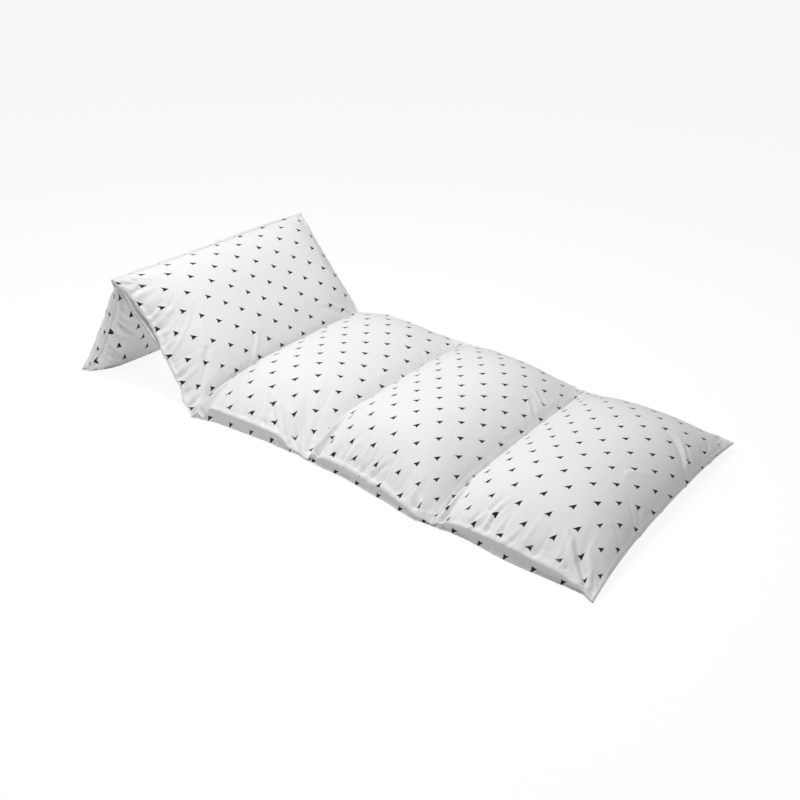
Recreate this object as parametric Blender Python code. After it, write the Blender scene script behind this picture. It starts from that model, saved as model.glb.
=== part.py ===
"""Filled five-pocket floor cushion cover, lying with its head end folded up into a tent.

Three pockets lie flat, the fourth leans up and the fifth folds down behind it.
X runs along the cover, from the folded end (-X) to the foot end (+X). The pockets' mouths are on -Y.
Metres, +Z up, origin on the floor under the middle of the whole.
"""

import math
from collections import namedtuple

import bmesh
import bpy
import numpy as np
from mathutils import Vector

# Distance along X from the seam between the flat pockets and the backrest to the origin.
SEAM_TO_ORIGIN_X = 0.3958
ORIGIN_Y = -0.0005

SEAM_HALF = 0.002
LIP_DEPTH = 0.008
FLAP_THICKNESS = 0.002
FLAP_GAP = 0.0008
PRESS_SHARE = 0.92
OPEN_SLOPE = 50.0
LEAST_FOLD = 0.02
# A fold has its whole height where the crown has risen by one part in this.
FOLD_GROWTH = 2.0

# Seams from the folded end to the foot end: place of the sewn line, half widths to its two ends,
# its height above the floor at the near end, in the middle and at the far end, and its bow along X.
Seam = namedtuple("Seam", "x near_half far_half near_z mid_z far_z bow")
SEAMS = (
    Seam(-0.490, 0.389, 0.380, 0.004, 0.007, 0.004, 0.030),
    Seam(-0.262, 0.383, 0.388, 0.358, 0.352, 0.350, 0.000),
    Seam(0.008, 0.377, 0.362, 0.004, 0.045, 0.068, 0.000),
    Seam(0.428, 0.345, 0.370, 0.006, 0.050, 0.074, 0.000),
    Seam(0.858, 0.374, 0.365, 0.004, 0.044, 0.046, 0.000),
    Seam(1.292, 0.384, 0.388, 0.004, 0.034, 0.022, -0.012),
)
SEAM_END_SHARE = 0.30

# Pockets in the same order: rise of the top and of the bottom from the seams' plane, the lengths over
# which the filling rounds off at the left and right seams and at the near and far edges,
# how far the far edge draws in between the seams, and the drop of the bottom at the mouth.
Pocket = namedtuple("Pocket", "name top_rise bottom_rise left right near far far_in mouth_drop")
POCKETS = (
    Pocket("e", 0.062, 0.072, 0.085, 0.17, 0.13, 0.18, 0.020, 0.034),
    Pocket("d", 0.062, 0.062, 0.17, 0.17, 0.22, 0.16, 0.004, 0.030),
    Pocket("c", 0.108, 0.060, 0.20, 0.21, 0.30, 0.24, 0.008, 0.0),
    Pocket("b", 0.118, 0.060, 0.18, 0.21, 0.19, 0.28, 0.008, 0.0),
    Pocket("a", 0.110, 0.060, 0.21, 0.20, 0.26, 0.31, 0.008, 0.0),
)

# How far the mouth draws in at its hem and at its foot: share of the pocket's length, hem, foot.
MOUTHS = {
    "e": ((0.0, 0.0, 0.0), (0.2, 0.007, 0.009), (0.5, 0.012, 0.015), (0.9, 0.008, 0.010), (1.0, 0.0, 0.0)),
    "d": (
        (0.0, 0.0, 0.0),
        (0.14, 0.031, 0.024),
        (0.40, 0.044, 0.036),
        (0.58, 0.027, 0.047),
        (0.78, 0.020, 0.044),
        (0.93, 0.006, 0.026),
        (1.0, 0.0, 0.0),
    ),
    "c": ((0.0, 0.0, 0.0), (0.2, 0.014, 0.018), (0.6, 0.014, 0.018), (0.9, 0.005, 0.007), (1.0, 0.0, 0.0)),
    "b": ((0.0, 0.0, 0.0), (0.3, 0.004, 0.008), (0.6, 0.000, 0.002), (0.9, -0.010, -0.008), (1.0, 0.0, 0.0)),
    "a": ((0.0, 0.0, 0.0), (0.2, 0.006, 0.011), (0.5, 0.002, 0.004), (0.9, 0.006, 0.012), (1.0, 0.0, 0.0)),
}

# Height of the hem over the seams' plane along each mouth: share of the pocket's length, height.
HEMS = {
    "e": ((0.0, 0.0), (0.12, -0.026), (0.5, -0.032), (0.88, -0.026), (1.0, 0.0)),
    "d": ((0.0, 0.0), (0.12, 0.004), (0.5, 0.006), (0.88, 0.004), (1.0, 0.0)),
    "c": ((0.0, 0.0), (0.08, 0.014), (0.16, 0.040), (0.45, 0.038), (0.74, 0.034), (0.88, 0.008), (1.0, 0.0)),
    "b": ((0.0, 0.0), (0.06, 0.024), (0.20, 0.030), (0.60, 0.027), (0.80, 0.022), (0.92, 0.012), (1.0, 0.0)),
    "a": ((0.0, 0.0), (0.07, 0.022), (0.24, 0.032), (0.50, 0.036), (0.77, 0.029), (0.90, 0.014), (1.0, 0.0)),
}

# Main folds, as soft ridges (+) and troughs (-) along straight lines: pocket, face,
# u and t at the start and at the end, half width, height at the start and at the end.
Fold = namedtuple("Fold", "pocket face u0 t0 u1 t1 width start end")
FOLDS = (
    # rolls of slack cloth beside the seams at the mouths' left corners
    Fold("c", "top", 0.035, 0.00, 0.040, 0.24, 0.014, 0.020, 0.000),
    Fold("c", "top", 0.105, 0.02, 0.110, 0.24, 0.014, -0.008, 0.000),
    Fold("b", "top", 0.030, 0.00, 0.040, 0.30, 0.014, 0.028, 0.000),
    Fold("b", "top", 0.095, 0.02, 0.100, 0.26, 0.014, -0.008, 0.000),
    Fold("a", "top", 0.030, 0.00, 0.040, 0.24, 0.014, 0.024, 0.000),
    Fold("a", "top", 0.095, 0.02, 0.100, 0.20, 0.014, -0.008, 0.000),
    # folds that run up from the hems
    Fold("c", "top", 0.62, 0.06, 0.78, 0.00, 0.014, -0.010, -0.008),
    Fold("c", "top", 0.70, 0.10, 0.86, 0.00, 0.014, 0.004, 0.009),
    Fold("c", "top", 0.40, 0.00, 0.36, 0.09, 0.016, 0.008, 0.000),
    Fold("c", "top", 0.26, 0.00, 0.24, 0.10, 0.015, -0.006, 0.000),
    Fold("b", "top", 0.28, 0.00, 0.37, 0.13, 0.015, 0.010, 0.000),
    Fold("b", "top", 0.44, 0.00, 0.56, 0.12, 0.015, 0.010, 0.000),
    Fold("b", "top", 0.64, 0.00, 0.72, 0.10, 0.015, 0.009, 0.000),
    Fold("a", "top", 0.15, 0.00, 0.25, 0.15, 0.015, 0.010, 0.000),
    Fold("a", "top", 0.30, 0.00, 0.39, 0.13, 0.015, 0.009, 0.000),
    # long folds towards the foot end's two corners
    Fold("a", "top", 0.74, 0.10, 0.92, 0.00, 0.015, 0.008, 0.018),
    Fold("a", "top", 0.70, 0.08, 0.86, 0.00, 0.014, -0.008, -0.010),
    Fold("a", "top", 0.79, 0.79, 0.96, 0.69, 0.014, 0.008, 0.014),
    Fold("a", "top", 0.77, 0.73, 0.95, 0.63, 0.014, -0.005, -0.010),
    Fold("a", "top", 0.86, 0.40, 0.98, 0.43, 0.016, 0.000, -0.010),
    Fold("a", "top", 0.86, 0.26, 0.98, 0.24, 0.016, 0.000, -0.010),
    # fan of folds from the backrest's mouth, and soft ones over its foot
    Fold("d", "top", 0.13, 0.00, 0.11, 0.08, 0.014, -0.010, -0.002),
    Fold("d", "top", 0.28, 0.00, 0.20, 0.12, 0.015, -0.010, 0.000),
    Fold("d", "top", 0.36, 0.00, 0.28, 0.13, 0.015, 0.009, 0.000),
    Fold("d", "top", 0.46, 0.00, 0.39, 0.13, 0.015, -0.010, 0.000),
    Fold("d", "top", 0.57, 0.00, 0.42, 0.19, 0.016, 0.011, 0.000),
    Fold("d", "top", 0.68, 0.00, 0.58, 0.13, 0.015, -0.010, 0.000),
    Fold("d", "top", 0.84, 0.00, 0.74, 0.12, 0.015, -0.009, 0.000),
    Fold("d", "top", 0.86, 0.26, 0.60, 0.30, 0.016, -0.006, 0.000),
    Fold("d", "top", 0.88, 0.45, 0.64, 0.47, 0.016, -0.006, 0.000),
    # creases of the folded end's underside, from its hem
    Fold("e", "bottom", 0.62, 0.00, 0.60, 0.16, 0.015, -0.010, 0.000),
    Fold("e", "bottom", 0.46, 0.00, 0.46, 0.15, 0.015, -0.010, 0.000),
    Fold("e", "bottom", 0.30, 0.00, 0.26, 0.15, 0.015, -0.009, 0.000),
)

SIDE_POWER = 2.2
SIDE_ROOT = 0.62
END_POWER = 2.4
END_ROOT = 0.66

# Steps of the mesh along a pocket, and across its top and its bottom.
ALONG_STEPS = 30
TOP_STEPS = 24
BOTTOM_STEPS = 10
# How closely the steps lie: rows of a share of the length or width and the closeness there.
ALONG_ROWS = {
    "e": ((0.0, 4.0), (0.12, 1.2), (0.88, 1.2), (1.0, 4.0)),
    "d": ((0.0, 4.0), (0.12, 1.6), (0.60, 1.2), (0.88, 1.2), (1.0, 4.0)),
    "c": ((0.0, 4.0), (0.14, 1.8), (0.22, 1.0), (0.55, 1.2), (0.85, 1.8), (1.0, 4.0)),
    "b": ((0.0, 4.0), (0.14, 1.8), (0.22, 1.2), (0.75, 1.2), (0.85, 1.0), (1.0, 4.0)),
    "a": ((0.0, 4.0), (0.14, 1.8), (0.40, 1.0), (0.70, 1.2), (0.80, 2.0), (1.0, 3.0)),
}
ACROSS_ROWS = {
    "e": ((0.0, 5.0), (0.05, 2.5), (0.20, 1.5), (0.40, 1.0), (0.85, 0.9), (1.0, 3.0)),
    "d": ((0.0, 6.0), (0.04, 3.0), (0.18, 2.2), (0.35, 1.2), (0.55, 1.0), (0.85, 0.9), (1.0, 3.0)),
    "c": ((0.0, 6.0), (0.04, 3.0), (0.12, 2.2), (0.24, 1.2), (0.85, 0.9), (1.0, 3.0)),
    "b": ((0.0, 6.0), (0.04, 3.0), (0.14, 2.2), (0.28, 1.2), (0.85, 0.9), (1.0, 3.0)),
    "a": ((0.0, 6.0), (0.04, 2.5), (0.14, 1.0), (0.60, 1.0), (0.67, 2.2), (0.78, 2.2), (0.85, 1.0), (1.0, 3.0)),
}
BOTTOM_ROWS = ((0.0, 8.0), (0.10, 1.5), (0.85, 1.2), (1.0, 3.0))
# Places at which the closeness is added up.
SUM_PLACES = 401
# Heights of the points of the recessed wall under a hem, as shares of the wall's height.
WALL_SHARES = np.array([0.12, 0.50, 0.94])
# The wall is recessed by the whole lip from this height up, and not at all under the lower one.
FULL_WALL = 0.030
LOW_WALL = 0.010

# Tuck-in flaps: pocket, and the shares of its length between which the flap shows.
Flap = namedtuple("Flap", "name pocket start end")
FLAPS = (
    Flap("tuck_flap_foot", "a", 0.05, 0.93),
    Flap("tuck_flap_second", "b", 0.04, 0.94),
    Flap("tuck_flap_third", "c", 0.08, 0.90),
    Flap("tuck_flap_backrest", "d", 0.08, 0.88),
)
FLAP_LOW_SHARE = 0.14
FLAP_HIGH_SHARE = 0.90
FLAP_WALL_STEPS = 3

CLOTH_COLOUR = (0.86, 0.86, 0.85)
FLAP_COLOUR = (0.80, 0.80, 0.79)
CLOTH_ROUGHNESS = 0.9


def through(points, x):
    """Smooth curve through a table of (share, value) rows, level at each row."""
    shares = [p[0] for p in points]
    values = [p[1] for p in points]
    place = np.clip(np.searchsorted(shares, x, side="right") - 1, 0, len(shares) - 2)
    low = np.take(shares, place)
    high = np.take(shares, place + 1)
    f = np.clip((x - low) / (high - low), 0, 1)
    f = f * f * (3 - 2 * f)
    return np.take(values, place) * (1 - f) + np.take(values, place + 1) * f


def rounding(distance, length, power, root):
    """0 at an edge, 1 from length on: steep at the edge and level at the end."""
    x = np.clip(distance / length, 0, 1)
    return (1 - (1 - x) ** power) ** root


def arch(u):
    """0 at both seams and 1 in between, for what grows away from the seams."""
    return 1 - (1 - np.clip(4 * u * (1 - u), 0, 1)) ** 2


def fold_rise(pocket, face, u, t, length, width):
    """Sum of the folds of a pocket's top or bottom at u along it and t across it."""
    rise = np.zeros(np.broadcast(u, t).shape)
    for fold in FOLDS:
        if (fold.pocket, fold.face) != (pocket.name, face):
            continue
        run_x = (fold.u1 - fold.u0) * length
        run_y = (fold.t1 - fold.t0) * width
        x = (u - fold.u0) * length
        y = (t - fold.t0) * width
        share = np.clip((x * run_x + y * run_y) / (run_x ** 2 + run_y ** 2), 0, 1)
        distance = np.hypot(x - share * run_x, y - share * run_y)
        height = fold.start + (fold.end - fold.start) * share
        rise = rise + height * np.exp(-((distance / fold.width) ** 2))
    return rise


def seam_point(seam, t):
    """Points of a sewn line, t from 0 at the near end to 1 at the far end."""
    near = np.clip(1 - t / SEAM_END_SHARE, 0, 1) ** 2
    far = np.clip(1 - (1 - t) / SEAM_END_SHARE, 0, 1) ** 2
    z = seam.mid_z + (seam.near_z - seam.mid_z) * near + (seam.far_z - seam.mid_z) * far
    x = seam.x + seam.bow * 4 * t * (1 - t)
    y = -seam.near_half + t * (seam.near_half + seam.far_half)
    return x, y, z


def pocket_axes(index, t):
    """Length of a pocket and its unit vectors along and out of its top, in XZ, at t across it."""
    ax, _, az = seam_point(SEAMS[index], t)
    bx, _, bz = seam_point(SEAMS[index + 1], t)
    length = np.hypot(bx - ax, bz - az)
    along_x = (bx - ax) / length
    along_z = (bz - az) / length
    return length, (along_x, along_z), (-along_z, along_x)


def mean_normal(index, other, t):
    """Unit vector in XZ halfway between the normals of two pockets that share a seam."""
    first = pocket_axes(index, t)[2]
    second = pocket_axes(other, t)[2]
    size = np.hypot(first[0] + second[0], first[1] + second[1])
    return (first[0] + second[0]) / size, (first[1] + second[1]) / size


def press_slope(index, t, at_right, top):
    """Steepest rise that a pocket's face may have beside a seam where its neighbour leans on it."""
    other = index + 1 if at_right else index - 1
    if other < 0 or other >= len(POCKETS):
        return OPEN_SLOPE
    along = pocket_axes(index, t)[1]
    beyond = pocket_axes(other, t)[1]
    turn = np.arctan2(beyond[1], beyond[0]) - np.arctan2(along[1], along[0])
    if not at_right:
        turn = -turn
    folded = turn if top else -turn
    slope = PRESS_SHARE * np.tan((math.pi - np.maximum(folded, LEAST_FOLD)) / 2)
    return np.where(folded > LEAST_FOLD, slope, OPEN_SLOPE)


def faces_at(index, u, t):
    """Points of a pocket's top and bottom faces at u along it and t across it, as two arrays of rows."""
    pocket = POCKETS[index]
    length, _, normal = pocket_axes(index, t)
    if u == 0 and index > 0:
        normal = mean_normal(index, index - 1, t)
    ax, ay, az = seam_point(SEAMS[index], t)
    bx, by, bz = seam_point(SEAMS[index + 1], t)
    base_x = ax * (1 - u) + bx * u
    base_y = ay * (1 - u) + by * u
    base_z = az * (1 - u) + bz * u
    width = SEAMS[index].near_half + SEAMS[index].far_half
    along = rounding(u * length, pocket.left, SIDE_POWER, SIDE_ROOT)
    along = along * rounding((1 - u) * length, pocket.right, SIDE_POWER, SIDE_ROOT)
    near = rounding(t * width, pocket.near, END_POWER, END_ROOT)
    far = rounding((1 - t) * width, pocket.far, END_POWER, END_ROOT)
    hem = through(HEMS[pocket.name], u)
    mouth = MOUTHS[pocket.name]
    top_in = through([(row[0], row[1]) for row in mouth], u)
    foot_in = through([(row[0], row[2]) for row in mouth], u)
    drop = pocket.mouth_drop * arch(u)
    top = SEAM_HALF + hem * (1 - near) + pocket.top_rise * along * near * far
    top = top + fold_rise(pocket, "top", u, t, length, width) * np.clip(along * FOLD_GROWTH, 0, 1)
    bottom = SEAM_HALF + drop * (1 - near) + pocket.bottom_rise * along * near * far
    bottom = bottom + fold_rise(pocket, "bottom", u, t, length, width) * np.clip(along * FOLD_GROWTH, 0, 1)
    for at_right, distance in ((False, u * length), (True, (1 - u) * length)):
        if 0 < u < 1:
            top = np.minimum(top, distance * press_slope(index, t, at_right, True))
            bottom = np.minimum(bottom, distance * press_slope(index, t, at_right, False))
    top = np.maximum(top, 2 * SEAM_HALF - bottom)
    shift_far = -pocket.far_in * arch(u) * t
    top_y = base_y + top_in * (1 - t) + shift_far
    bottom_y = base_y + foot_in * (1 - t) + shift_far
    top_point = np.stack([base_x + normal[0] * top, top_y, base_z + normal[1] * top], axis=-1)
    bottom_point = np.stack(
        [base_x - normal[0] * bottom, bottom_y, np.maximum(base_z - normal[1] * bottom, 0.0)], axis=-1
    )
    return top_point, bottom_point


def steps_by(count, rows):
    """Shares from 0 to 1, closer together where the rows of share and closeness say so."""
    x = np.linspace(0, 1, SUM_PLACES)
    close = np.interp(x, [row[0] for row in rows], [row[1] for row in rows])
    total = np.concatenate([[0.0], np.cumsum((close[1:] + close[:-1]) / 2)])
    return np.interp(np.linspace(0, total[-1], count + 1), total, x)


ALONG = {name: steps_by(ALONG_STEPS, rows) for name, rows in ALONG_ROWS.items()}
TOP_ACROSS = {name: steps_by(TOP_STEPS, rows) for name, rows in ACROSS_ROWS.items()}
BOTTOM_ACROSS = steps_by(BOTTOM_STEPS, BOTTOM_ROWS)


def wall_at(index, u, shares):
    """Points of the recessed wall under a hem at these shares of its height, from the foot up."""
    top, bottom = faces_at(index, u, np.array([0.0]))
    points = bottom[0] * (1 - shares[:, None]) + top[0] * shares[:, None]
    height = np.linalg.norm(top[0] - bottom[0])
    points[:, 1] += LIP_DEPTH * np.clip((height - LOW_WALL) / (FULL_WALL - LOW_WALL), 0, 1)
    return points


def section(index, u):
    """Closed loop of points round the filled cover at u along a pocket: top, bottom and wall."""
    top = faces_at(index, u, TOP_ACROSS[POCKETS[index].name])[0]
    bottom = faces_at(index, u, BOTTOM_ACROSS)[1]
    return np.concatenate([top, bottom[::-1], wall_at(index, u, WALL_SHARES)])


def end_faces(start, name):
    """Triangles that close the cover at the section whose first point is start, facing along X."""
    top = TOP_ACROSS[name]
    heel = start + TOP_STEPS + BOTTOM_STEPS + 1
    wall = [heel + 1 + k for k in range(len(WALL_SHARES))]
    faces = [(start, start + 1, heel, *wall)]
    i = 1
    j = 0
    while i < TOP_STEPS or j < BOTTOM_STEPS:
        if j == BOTTOM_STEPS or (i < TOP_STEPS and top[i + 1] <= BOTTOM_ACROSS[j + 1]):
            faces.append((start + i, start + i + 1, heel - j))
            i += 1
        else:
            faces.append((start + i, heel - j - 1, heel - j))
            j += 1
    return faces


def cover_mesh():
    """Points and faces of the whole filled cover, as one closed form."""
    loops = []
    for index, pocket in enumerate(POCKETS):
        stations = ALONG[pocket.name]
        for u in stations if index == len(POCKETS) - 1 else stations[:-1]:
            loops.append(section(index, u))
    loops = np.array(loops)
    rows, around = loops.shape[:2]
    faces = []
    for r in range(rows - 1):
        for k in range(around):
            n = (k + 1) % around
            faces.append((r * around + k, r * around + n, (r + 1) * around + n, (r + 1) * around + k))
    faces += [tuple(reversed(face)) for face in end_faces(0, POCKETS[0].name)]
    faces += end_faces((rows - 1) * around, POCKETS[-1].name)
    return loops.reshape(-1, 3), faces


def flap_mesh(flap):
    """Points and faces of one thin flap that lies on its pocket's wall."""
    index = [pocket.name for pocket in POCKETS].index(flap.pocket)
    shares = np.linspace(FLAP_LOW_SHARE, FLAP_HIGH_SHARE, FLAP_WALL_STEPS + 1)
    stations = [u for u in ALONG[flap.pocket] if flap.start <= u <= flap.end]
    loops = []
    for u in stations:
        inner = wall_at(index, u, shares) - np.array([0.0, FLAP_GAP, 0.0])
        outer = inner - np.array([0.0, FLAP_THICKNESS, 0.0])
        loops.append(np.concatenate([inner, outer[::-1]]))
    around = 2 * len(shares)
    faces = []
    for r in range(len(stations) - 1):
        for k in range(around):
            n = (k + 1) % around
            faces.append((r * around + k, r * around + n, (r + 1) * around + n, (r + 1) * around + k))
    last = (len(stations) - 1) * around
    for k in range(len(shares) - 1):
        strip = (k, k + 1, around - 2 - k, around - 1 - k)
        faces.append(tuple(reversed(strip)))
        faces.append(tuple(last + i for i in strip))
    return np.concatenate(loops), faces


def make_object(name, points, faces, colour):
    """Named mesh object with its own material, its points moved to the model's origin."""
    mesh = bpy.data.meshes.new(name)
    moved = np.array(points) - np.array([SEAM_TO_ORIGIN_X, ORIGIN_Y, 0.0])
    mesh.from_pydata([Vector(p) for p in moved], [], faces)
    bm = bmesh.new()
    bm.from_mesh(mesh)
    bmesh.ops.triangulate(bm, faces=bm.faces)
    bmesh.ops.recalc_face_normals(bm, faces=bm.faces)
    bm.to_mesh(mesh)
    bm.free()
    mesh.shade_smooth()
    material = bpy.data.materials.new(name)
    material.use_nodes = True
    shader = material.node_tree.nodes["Principled BSDF"]
    shader.inputs["Base Color"].default_value = (*colour, 1.0)
    shader.inputs["Roughness"].default_value = CLOTH_ROUGHNESS
    shader.inputs["Metallic"].default_value = 0.0
    mesh.materials.append(material)
    made = bpy.data.objects.new(name, mesh)
    bpy.context.scene.collection.objects.link(made)
    return made


def main():
    for old in list(bpy.data.objects):
        bpy.data.objects.remove(old)
    make_object("cover", *cover_mesh(), CLOTH_COLOUR)
    for flap in FLAPS:
        make_object(flap.name, *flap_mesh(flap), FLAP_COLOUR)


main()
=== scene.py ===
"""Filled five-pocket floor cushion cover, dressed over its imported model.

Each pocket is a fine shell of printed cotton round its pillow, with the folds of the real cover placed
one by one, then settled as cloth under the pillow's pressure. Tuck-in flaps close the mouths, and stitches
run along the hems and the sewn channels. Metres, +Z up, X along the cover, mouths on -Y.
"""

import logging
import math
from dataclasses import dataclass, field
from enum import Enum

import bpy
import numpy as np
from mathutils import Matrix, Vector


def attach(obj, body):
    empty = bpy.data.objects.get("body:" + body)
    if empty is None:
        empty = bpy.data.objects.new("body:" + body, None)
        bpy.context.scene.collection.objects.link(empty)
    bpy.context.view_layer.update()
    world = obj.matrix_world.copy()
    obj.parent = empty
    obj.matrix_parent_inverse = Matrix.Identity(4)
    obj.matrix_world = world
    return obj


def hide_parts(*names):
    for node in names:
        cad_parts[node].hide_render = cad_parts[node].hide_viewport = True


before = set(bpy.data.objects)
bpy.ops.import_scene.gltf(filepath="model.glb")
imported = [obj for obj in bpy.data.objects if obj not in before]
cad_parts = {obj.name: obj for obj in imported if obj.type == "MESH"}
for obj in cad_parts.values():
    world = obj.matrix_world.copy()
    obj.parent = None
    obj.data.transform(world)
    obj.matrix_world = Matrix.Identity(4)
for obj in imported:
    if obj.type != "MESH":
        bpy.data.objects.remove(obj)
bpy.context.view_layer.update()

logging.basicConfig(level=logging.INFO, format="%(message)s")
log = logging.getLogger("floor_cushion")

Array = np.ndarray

# The seam between the flat pockets and the backrest is the shape's own zero.
SHAPE_ORIGIN = np.array([0.3958, -0.0005, 0.0])
# Half the cover's thickness at a seam, and the size of a flat pocket, in metres.
SEAM_HALF = 0.002
FLAT_LENGTH = 0.46
FLAT_WIDTH = 0.80
# The back cloth's print is seen from the other side.
MIRRORED = np.array([-1.0, 1.0])
# A pinched fold: how round its middle is, how fast it falls away, and its lift there.
SHARP_ROUND = 0.04
SHARP_FALL = 1.5
SHARP_LIFT = 0.3
# A fold is felt within this many half widths of its line.
FOLD_REACH = 3
# Lengths under these, in metres, count as none.
TINY = 1e-6
TINIEST = 1e-9
WHITE = (1.0, 1.0, 1.0, 1.0)
IMAGE_SIZE = 800


class Face(Enum):
    """The two cloths of a pocket."""

    TOP = "face cloth"
    BOTTOM = "back cloth"


class FoldKind(Enum):
    """Cross section of a fold."""

    SOFT = "rounded both ways"
    SHARP = "pinched along its middle"
    ROLL = "a round roll with steep sides"


@dataclass(frozen=True)
class Seam:
    """A sewn line across the cover.

    Args:
        x: place along the cover.
        near_half, far_half: half widths to the line's two ends.
        near_z, mid_z, far_z: height over the floor along the line.
        bow: how far the middle bows along X.
        end_share: share of the line over which the height at an end fades in.
    """

    x: float
    near_half: float
    far_half: float
    near_z: float
    mid_z: float
    far_z: float
    bow: float = 0.0
    end_share: float = 0.30

    def point(self, t: Array) -> Array:
        """Points of the line, t from 0 at the near end to 1 at the far end."""
        near = np.clip(1 - t / self.end_share, 0, 1) ** 2
        far = np.clip(1 - (1 - t) / self.end_share, 0, 1) ** 2
        z = self.mid_z + (self.near_z - self.mid_z) * near + (self.far_z - self.mid_z) * far
        x = self.x + self.bow * 4 * t * (1 - t)
        y = -self.near_half + t * (self.near_half + self.far_half)
        return np.stack([x, y, z], axis=-1)


@dataclass(frozen=True)
class Fold:
    """A fold from one place to another on a pocket, in shares of its length (u) and width (t).

    Args:
        u0, t0, u1, t1: where it starts and ends.
        width: half width in metres.
        start, end: height at its two ends, negative for a trough.
        bend: how far its middle is off the straight line, in metres.
        kind: its cross section.
        face: the cloth that it lies in.
    """

    u0: float
    t0: float
    u1: float
    t1: float
    width: float
    start: float
    end: float
    bend: float = 0.0
    kind: FoldKind = FoldKind.SOFT
    face: Face = Face.TOP


@dataclass(frozen=True)
class Print:
    """Where the small printed marks fall on a pocket, from the pocket's middle.

    Args:
        along, across: the repeat's length along the cover and across it.
        along_skew, across_skew: how far each of the two steps runs the other way.
        shift_x, shift_y: place of one mark.
    """

    along: float
    across: float
    along_skew: float
    across_skew: float
    shift_x: float
    shift_y: float


@dataclass(frozen=True)
class Pocket:
    """Form of one filled pocket.

    Args:
        name: letter from the folded end e to the foot end a.
        top_rise, bottom_rise: how far the filling lifts each cloth from the seams' plane.
        left, right, near, far: lengths over which the filling rounds off at each side.
        far_in: how far the closed far edge draws in between the seams.
        mouth_drop: drop of the back cloth at the mouth.
        mouth: rows of share along the pocket, and how far the hem and the foot draw in there.
        hem: rows of share along the pocket and the hem's height there.
        folds: the main folds of this pocket.
        marks: where its printed marks fall.
        back_marks: the same on the back cloth.
        flap: shares between which the tuck-in flap shows, or None.
        flap_creases: shares at which the flap has an upright crease.
        recess: how far the cloth under the hem lies behind it.
        hem_hold: share of a fold's height that the stiff hem takes away.
        mouth_left: what left becomes at the mouth, or 0 where it stays.
        mouth_root: how gently the cloth rises from the mouth, 1 the gentlest.
    """

    name: str
    top_rise: float
    bottom_rise: float
    left: float
    right: float
    near: float
    far: float
    far_in: float
    mouth_drop: float
    mouth: tuple[tuple[float, float, float], ...]
    hem: tuple[tuple[float, float], ...]
    folds: tuple[Fold, ...]
    marks: Print
    back_marks: Print
    flap: tuple[float, float] | None = None
    flap_creases: tuple[float, ...] = ()
    recess: float = 0.0065
    hem_hold: float = 0.65
    mouth_left: float = 0.0
    mouth_root: float = 0.86


@dataclass
class Patch:
    """A grid of points of one cloth: base points in the seams' plane, normals, heights and limits."""

    base: Array
    normal: Array
    height: Array
    limit: Array

    def points(self) -> Array:
        """The grid's points in the shape's own frame."""
        return self.base + self.normal * self.height[..., None]

    def held_back(self, points: Array) -> Array:
        """Points kept off the next pocket and over the floor."""
        over = np.maximum(((points - self.base) * self.normal).sum(axis=-1) - self.limit, 0)
        points = points - self.normal * over[..., None]
        points[..., 2] = np.maximum(points[..., 2], 0.0)
        return points


def smooth(x: Array) -> Array:
    """0 to 1 with level ends."""
    x = np.clip(x, 0, 1)
    return x * x * (3 - 2 * x)


def through(rows: tuple, column: int, x: Array) -> Array:
    """Smooth curve through a column of rows whose first value is the share, level at each row."""
    shares = np.array([row[0] for row in rows])
    values = np.array([row[column] for row in rows])
    place = np.clip(np.searchsorted(shares, x, side="right") - 1, 0, len(shares) - 2)
    f = smooth((x - shares[place]) / (shares[place + 1] - shares[place]))
    return values[place] * (1 - f) + values[place + 1] * f


def rounding(distance: Array, length: float, power: float, root: float) -> Array:
    """0 at an edge, 1 from length on: steep at the edge and level at the end."""
    x = np.clip(distance / length, 0, 1)
    return (1 - (1 - x) ** power) ** root


def arch(u: Array) -> Array:
    """0 at both seams and 1 in between."""
    return 1 - (1 - np.clip(4 * u * (1 - u), 0, 1)) ** 2


def new_piece(
    name: str, points: Array, faces: list, material: bpy.types.Material | None = None
) -> bpy.types.Object:
    """A smooth mesh object in the scene."""
    mesh = bpy.data.meshes.new(name)
    mesh.from_pydata(points.reshape(-1, 3).tolist(), [], faces)
    mesh.shade_smooth()
    if material:
        mesh.materials.append(material)
    made = bpy.data.objects.new(name, mesh)
    bpy.context.scene.collection.objects.link(made)
    return made


def set_maps(mesh: bpy.types.Mesh, place: Array, printed: Array) -> None:
    """Stores each point's place on the flat cloth and in the print."""
    corner = np.zeros(len(mesh.loops), dtype=np.int64)
    mesh.loops.foreach_get("vertex_index", corner)
    for name, values in (("cloth", place), ("print", printed)):
        layer = mesh.uv_layers.new(name=name)
        layer.data.foreach_set("uv", values.reshape(-1, 2)[corner].ravel())


def fold_table(*rows: tuple) -> tuple[Fold, ...]:
    """Folds from rows of their values."""
    return tuple(Fold(*row) for row in rows)


# Columns: x, near_half, far_half, near_z, mid_z, far_z.
SEAMS = (
    Seam(-0.490, 0.389, 0.380, 0.004, 0.007, 0.004, bow=0.030),
    Seam(-0.262, 0.383, 0.388, 0.358, 0.352, 0.350),
    Seam(0.008, 0.377, 0.362, 0.004, 0.045, 0.068),
    Seam(0.428, 0.345, 0.370, 0.006, 0.050, 0.074),
    Seam(0.858, 0.374, 0.365, 0.004, 0.044, 0.046),
    Seam(1.292, 0.384, 0.388, 0.004, 0.034, 0.022, bow=-0.012),
)

ROLL = FoldKind.ROLL
SOFT = FoldKind.SOFT
SHARP = FoldKind.SHARP
BACK = Face.BOTTOM

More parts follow.
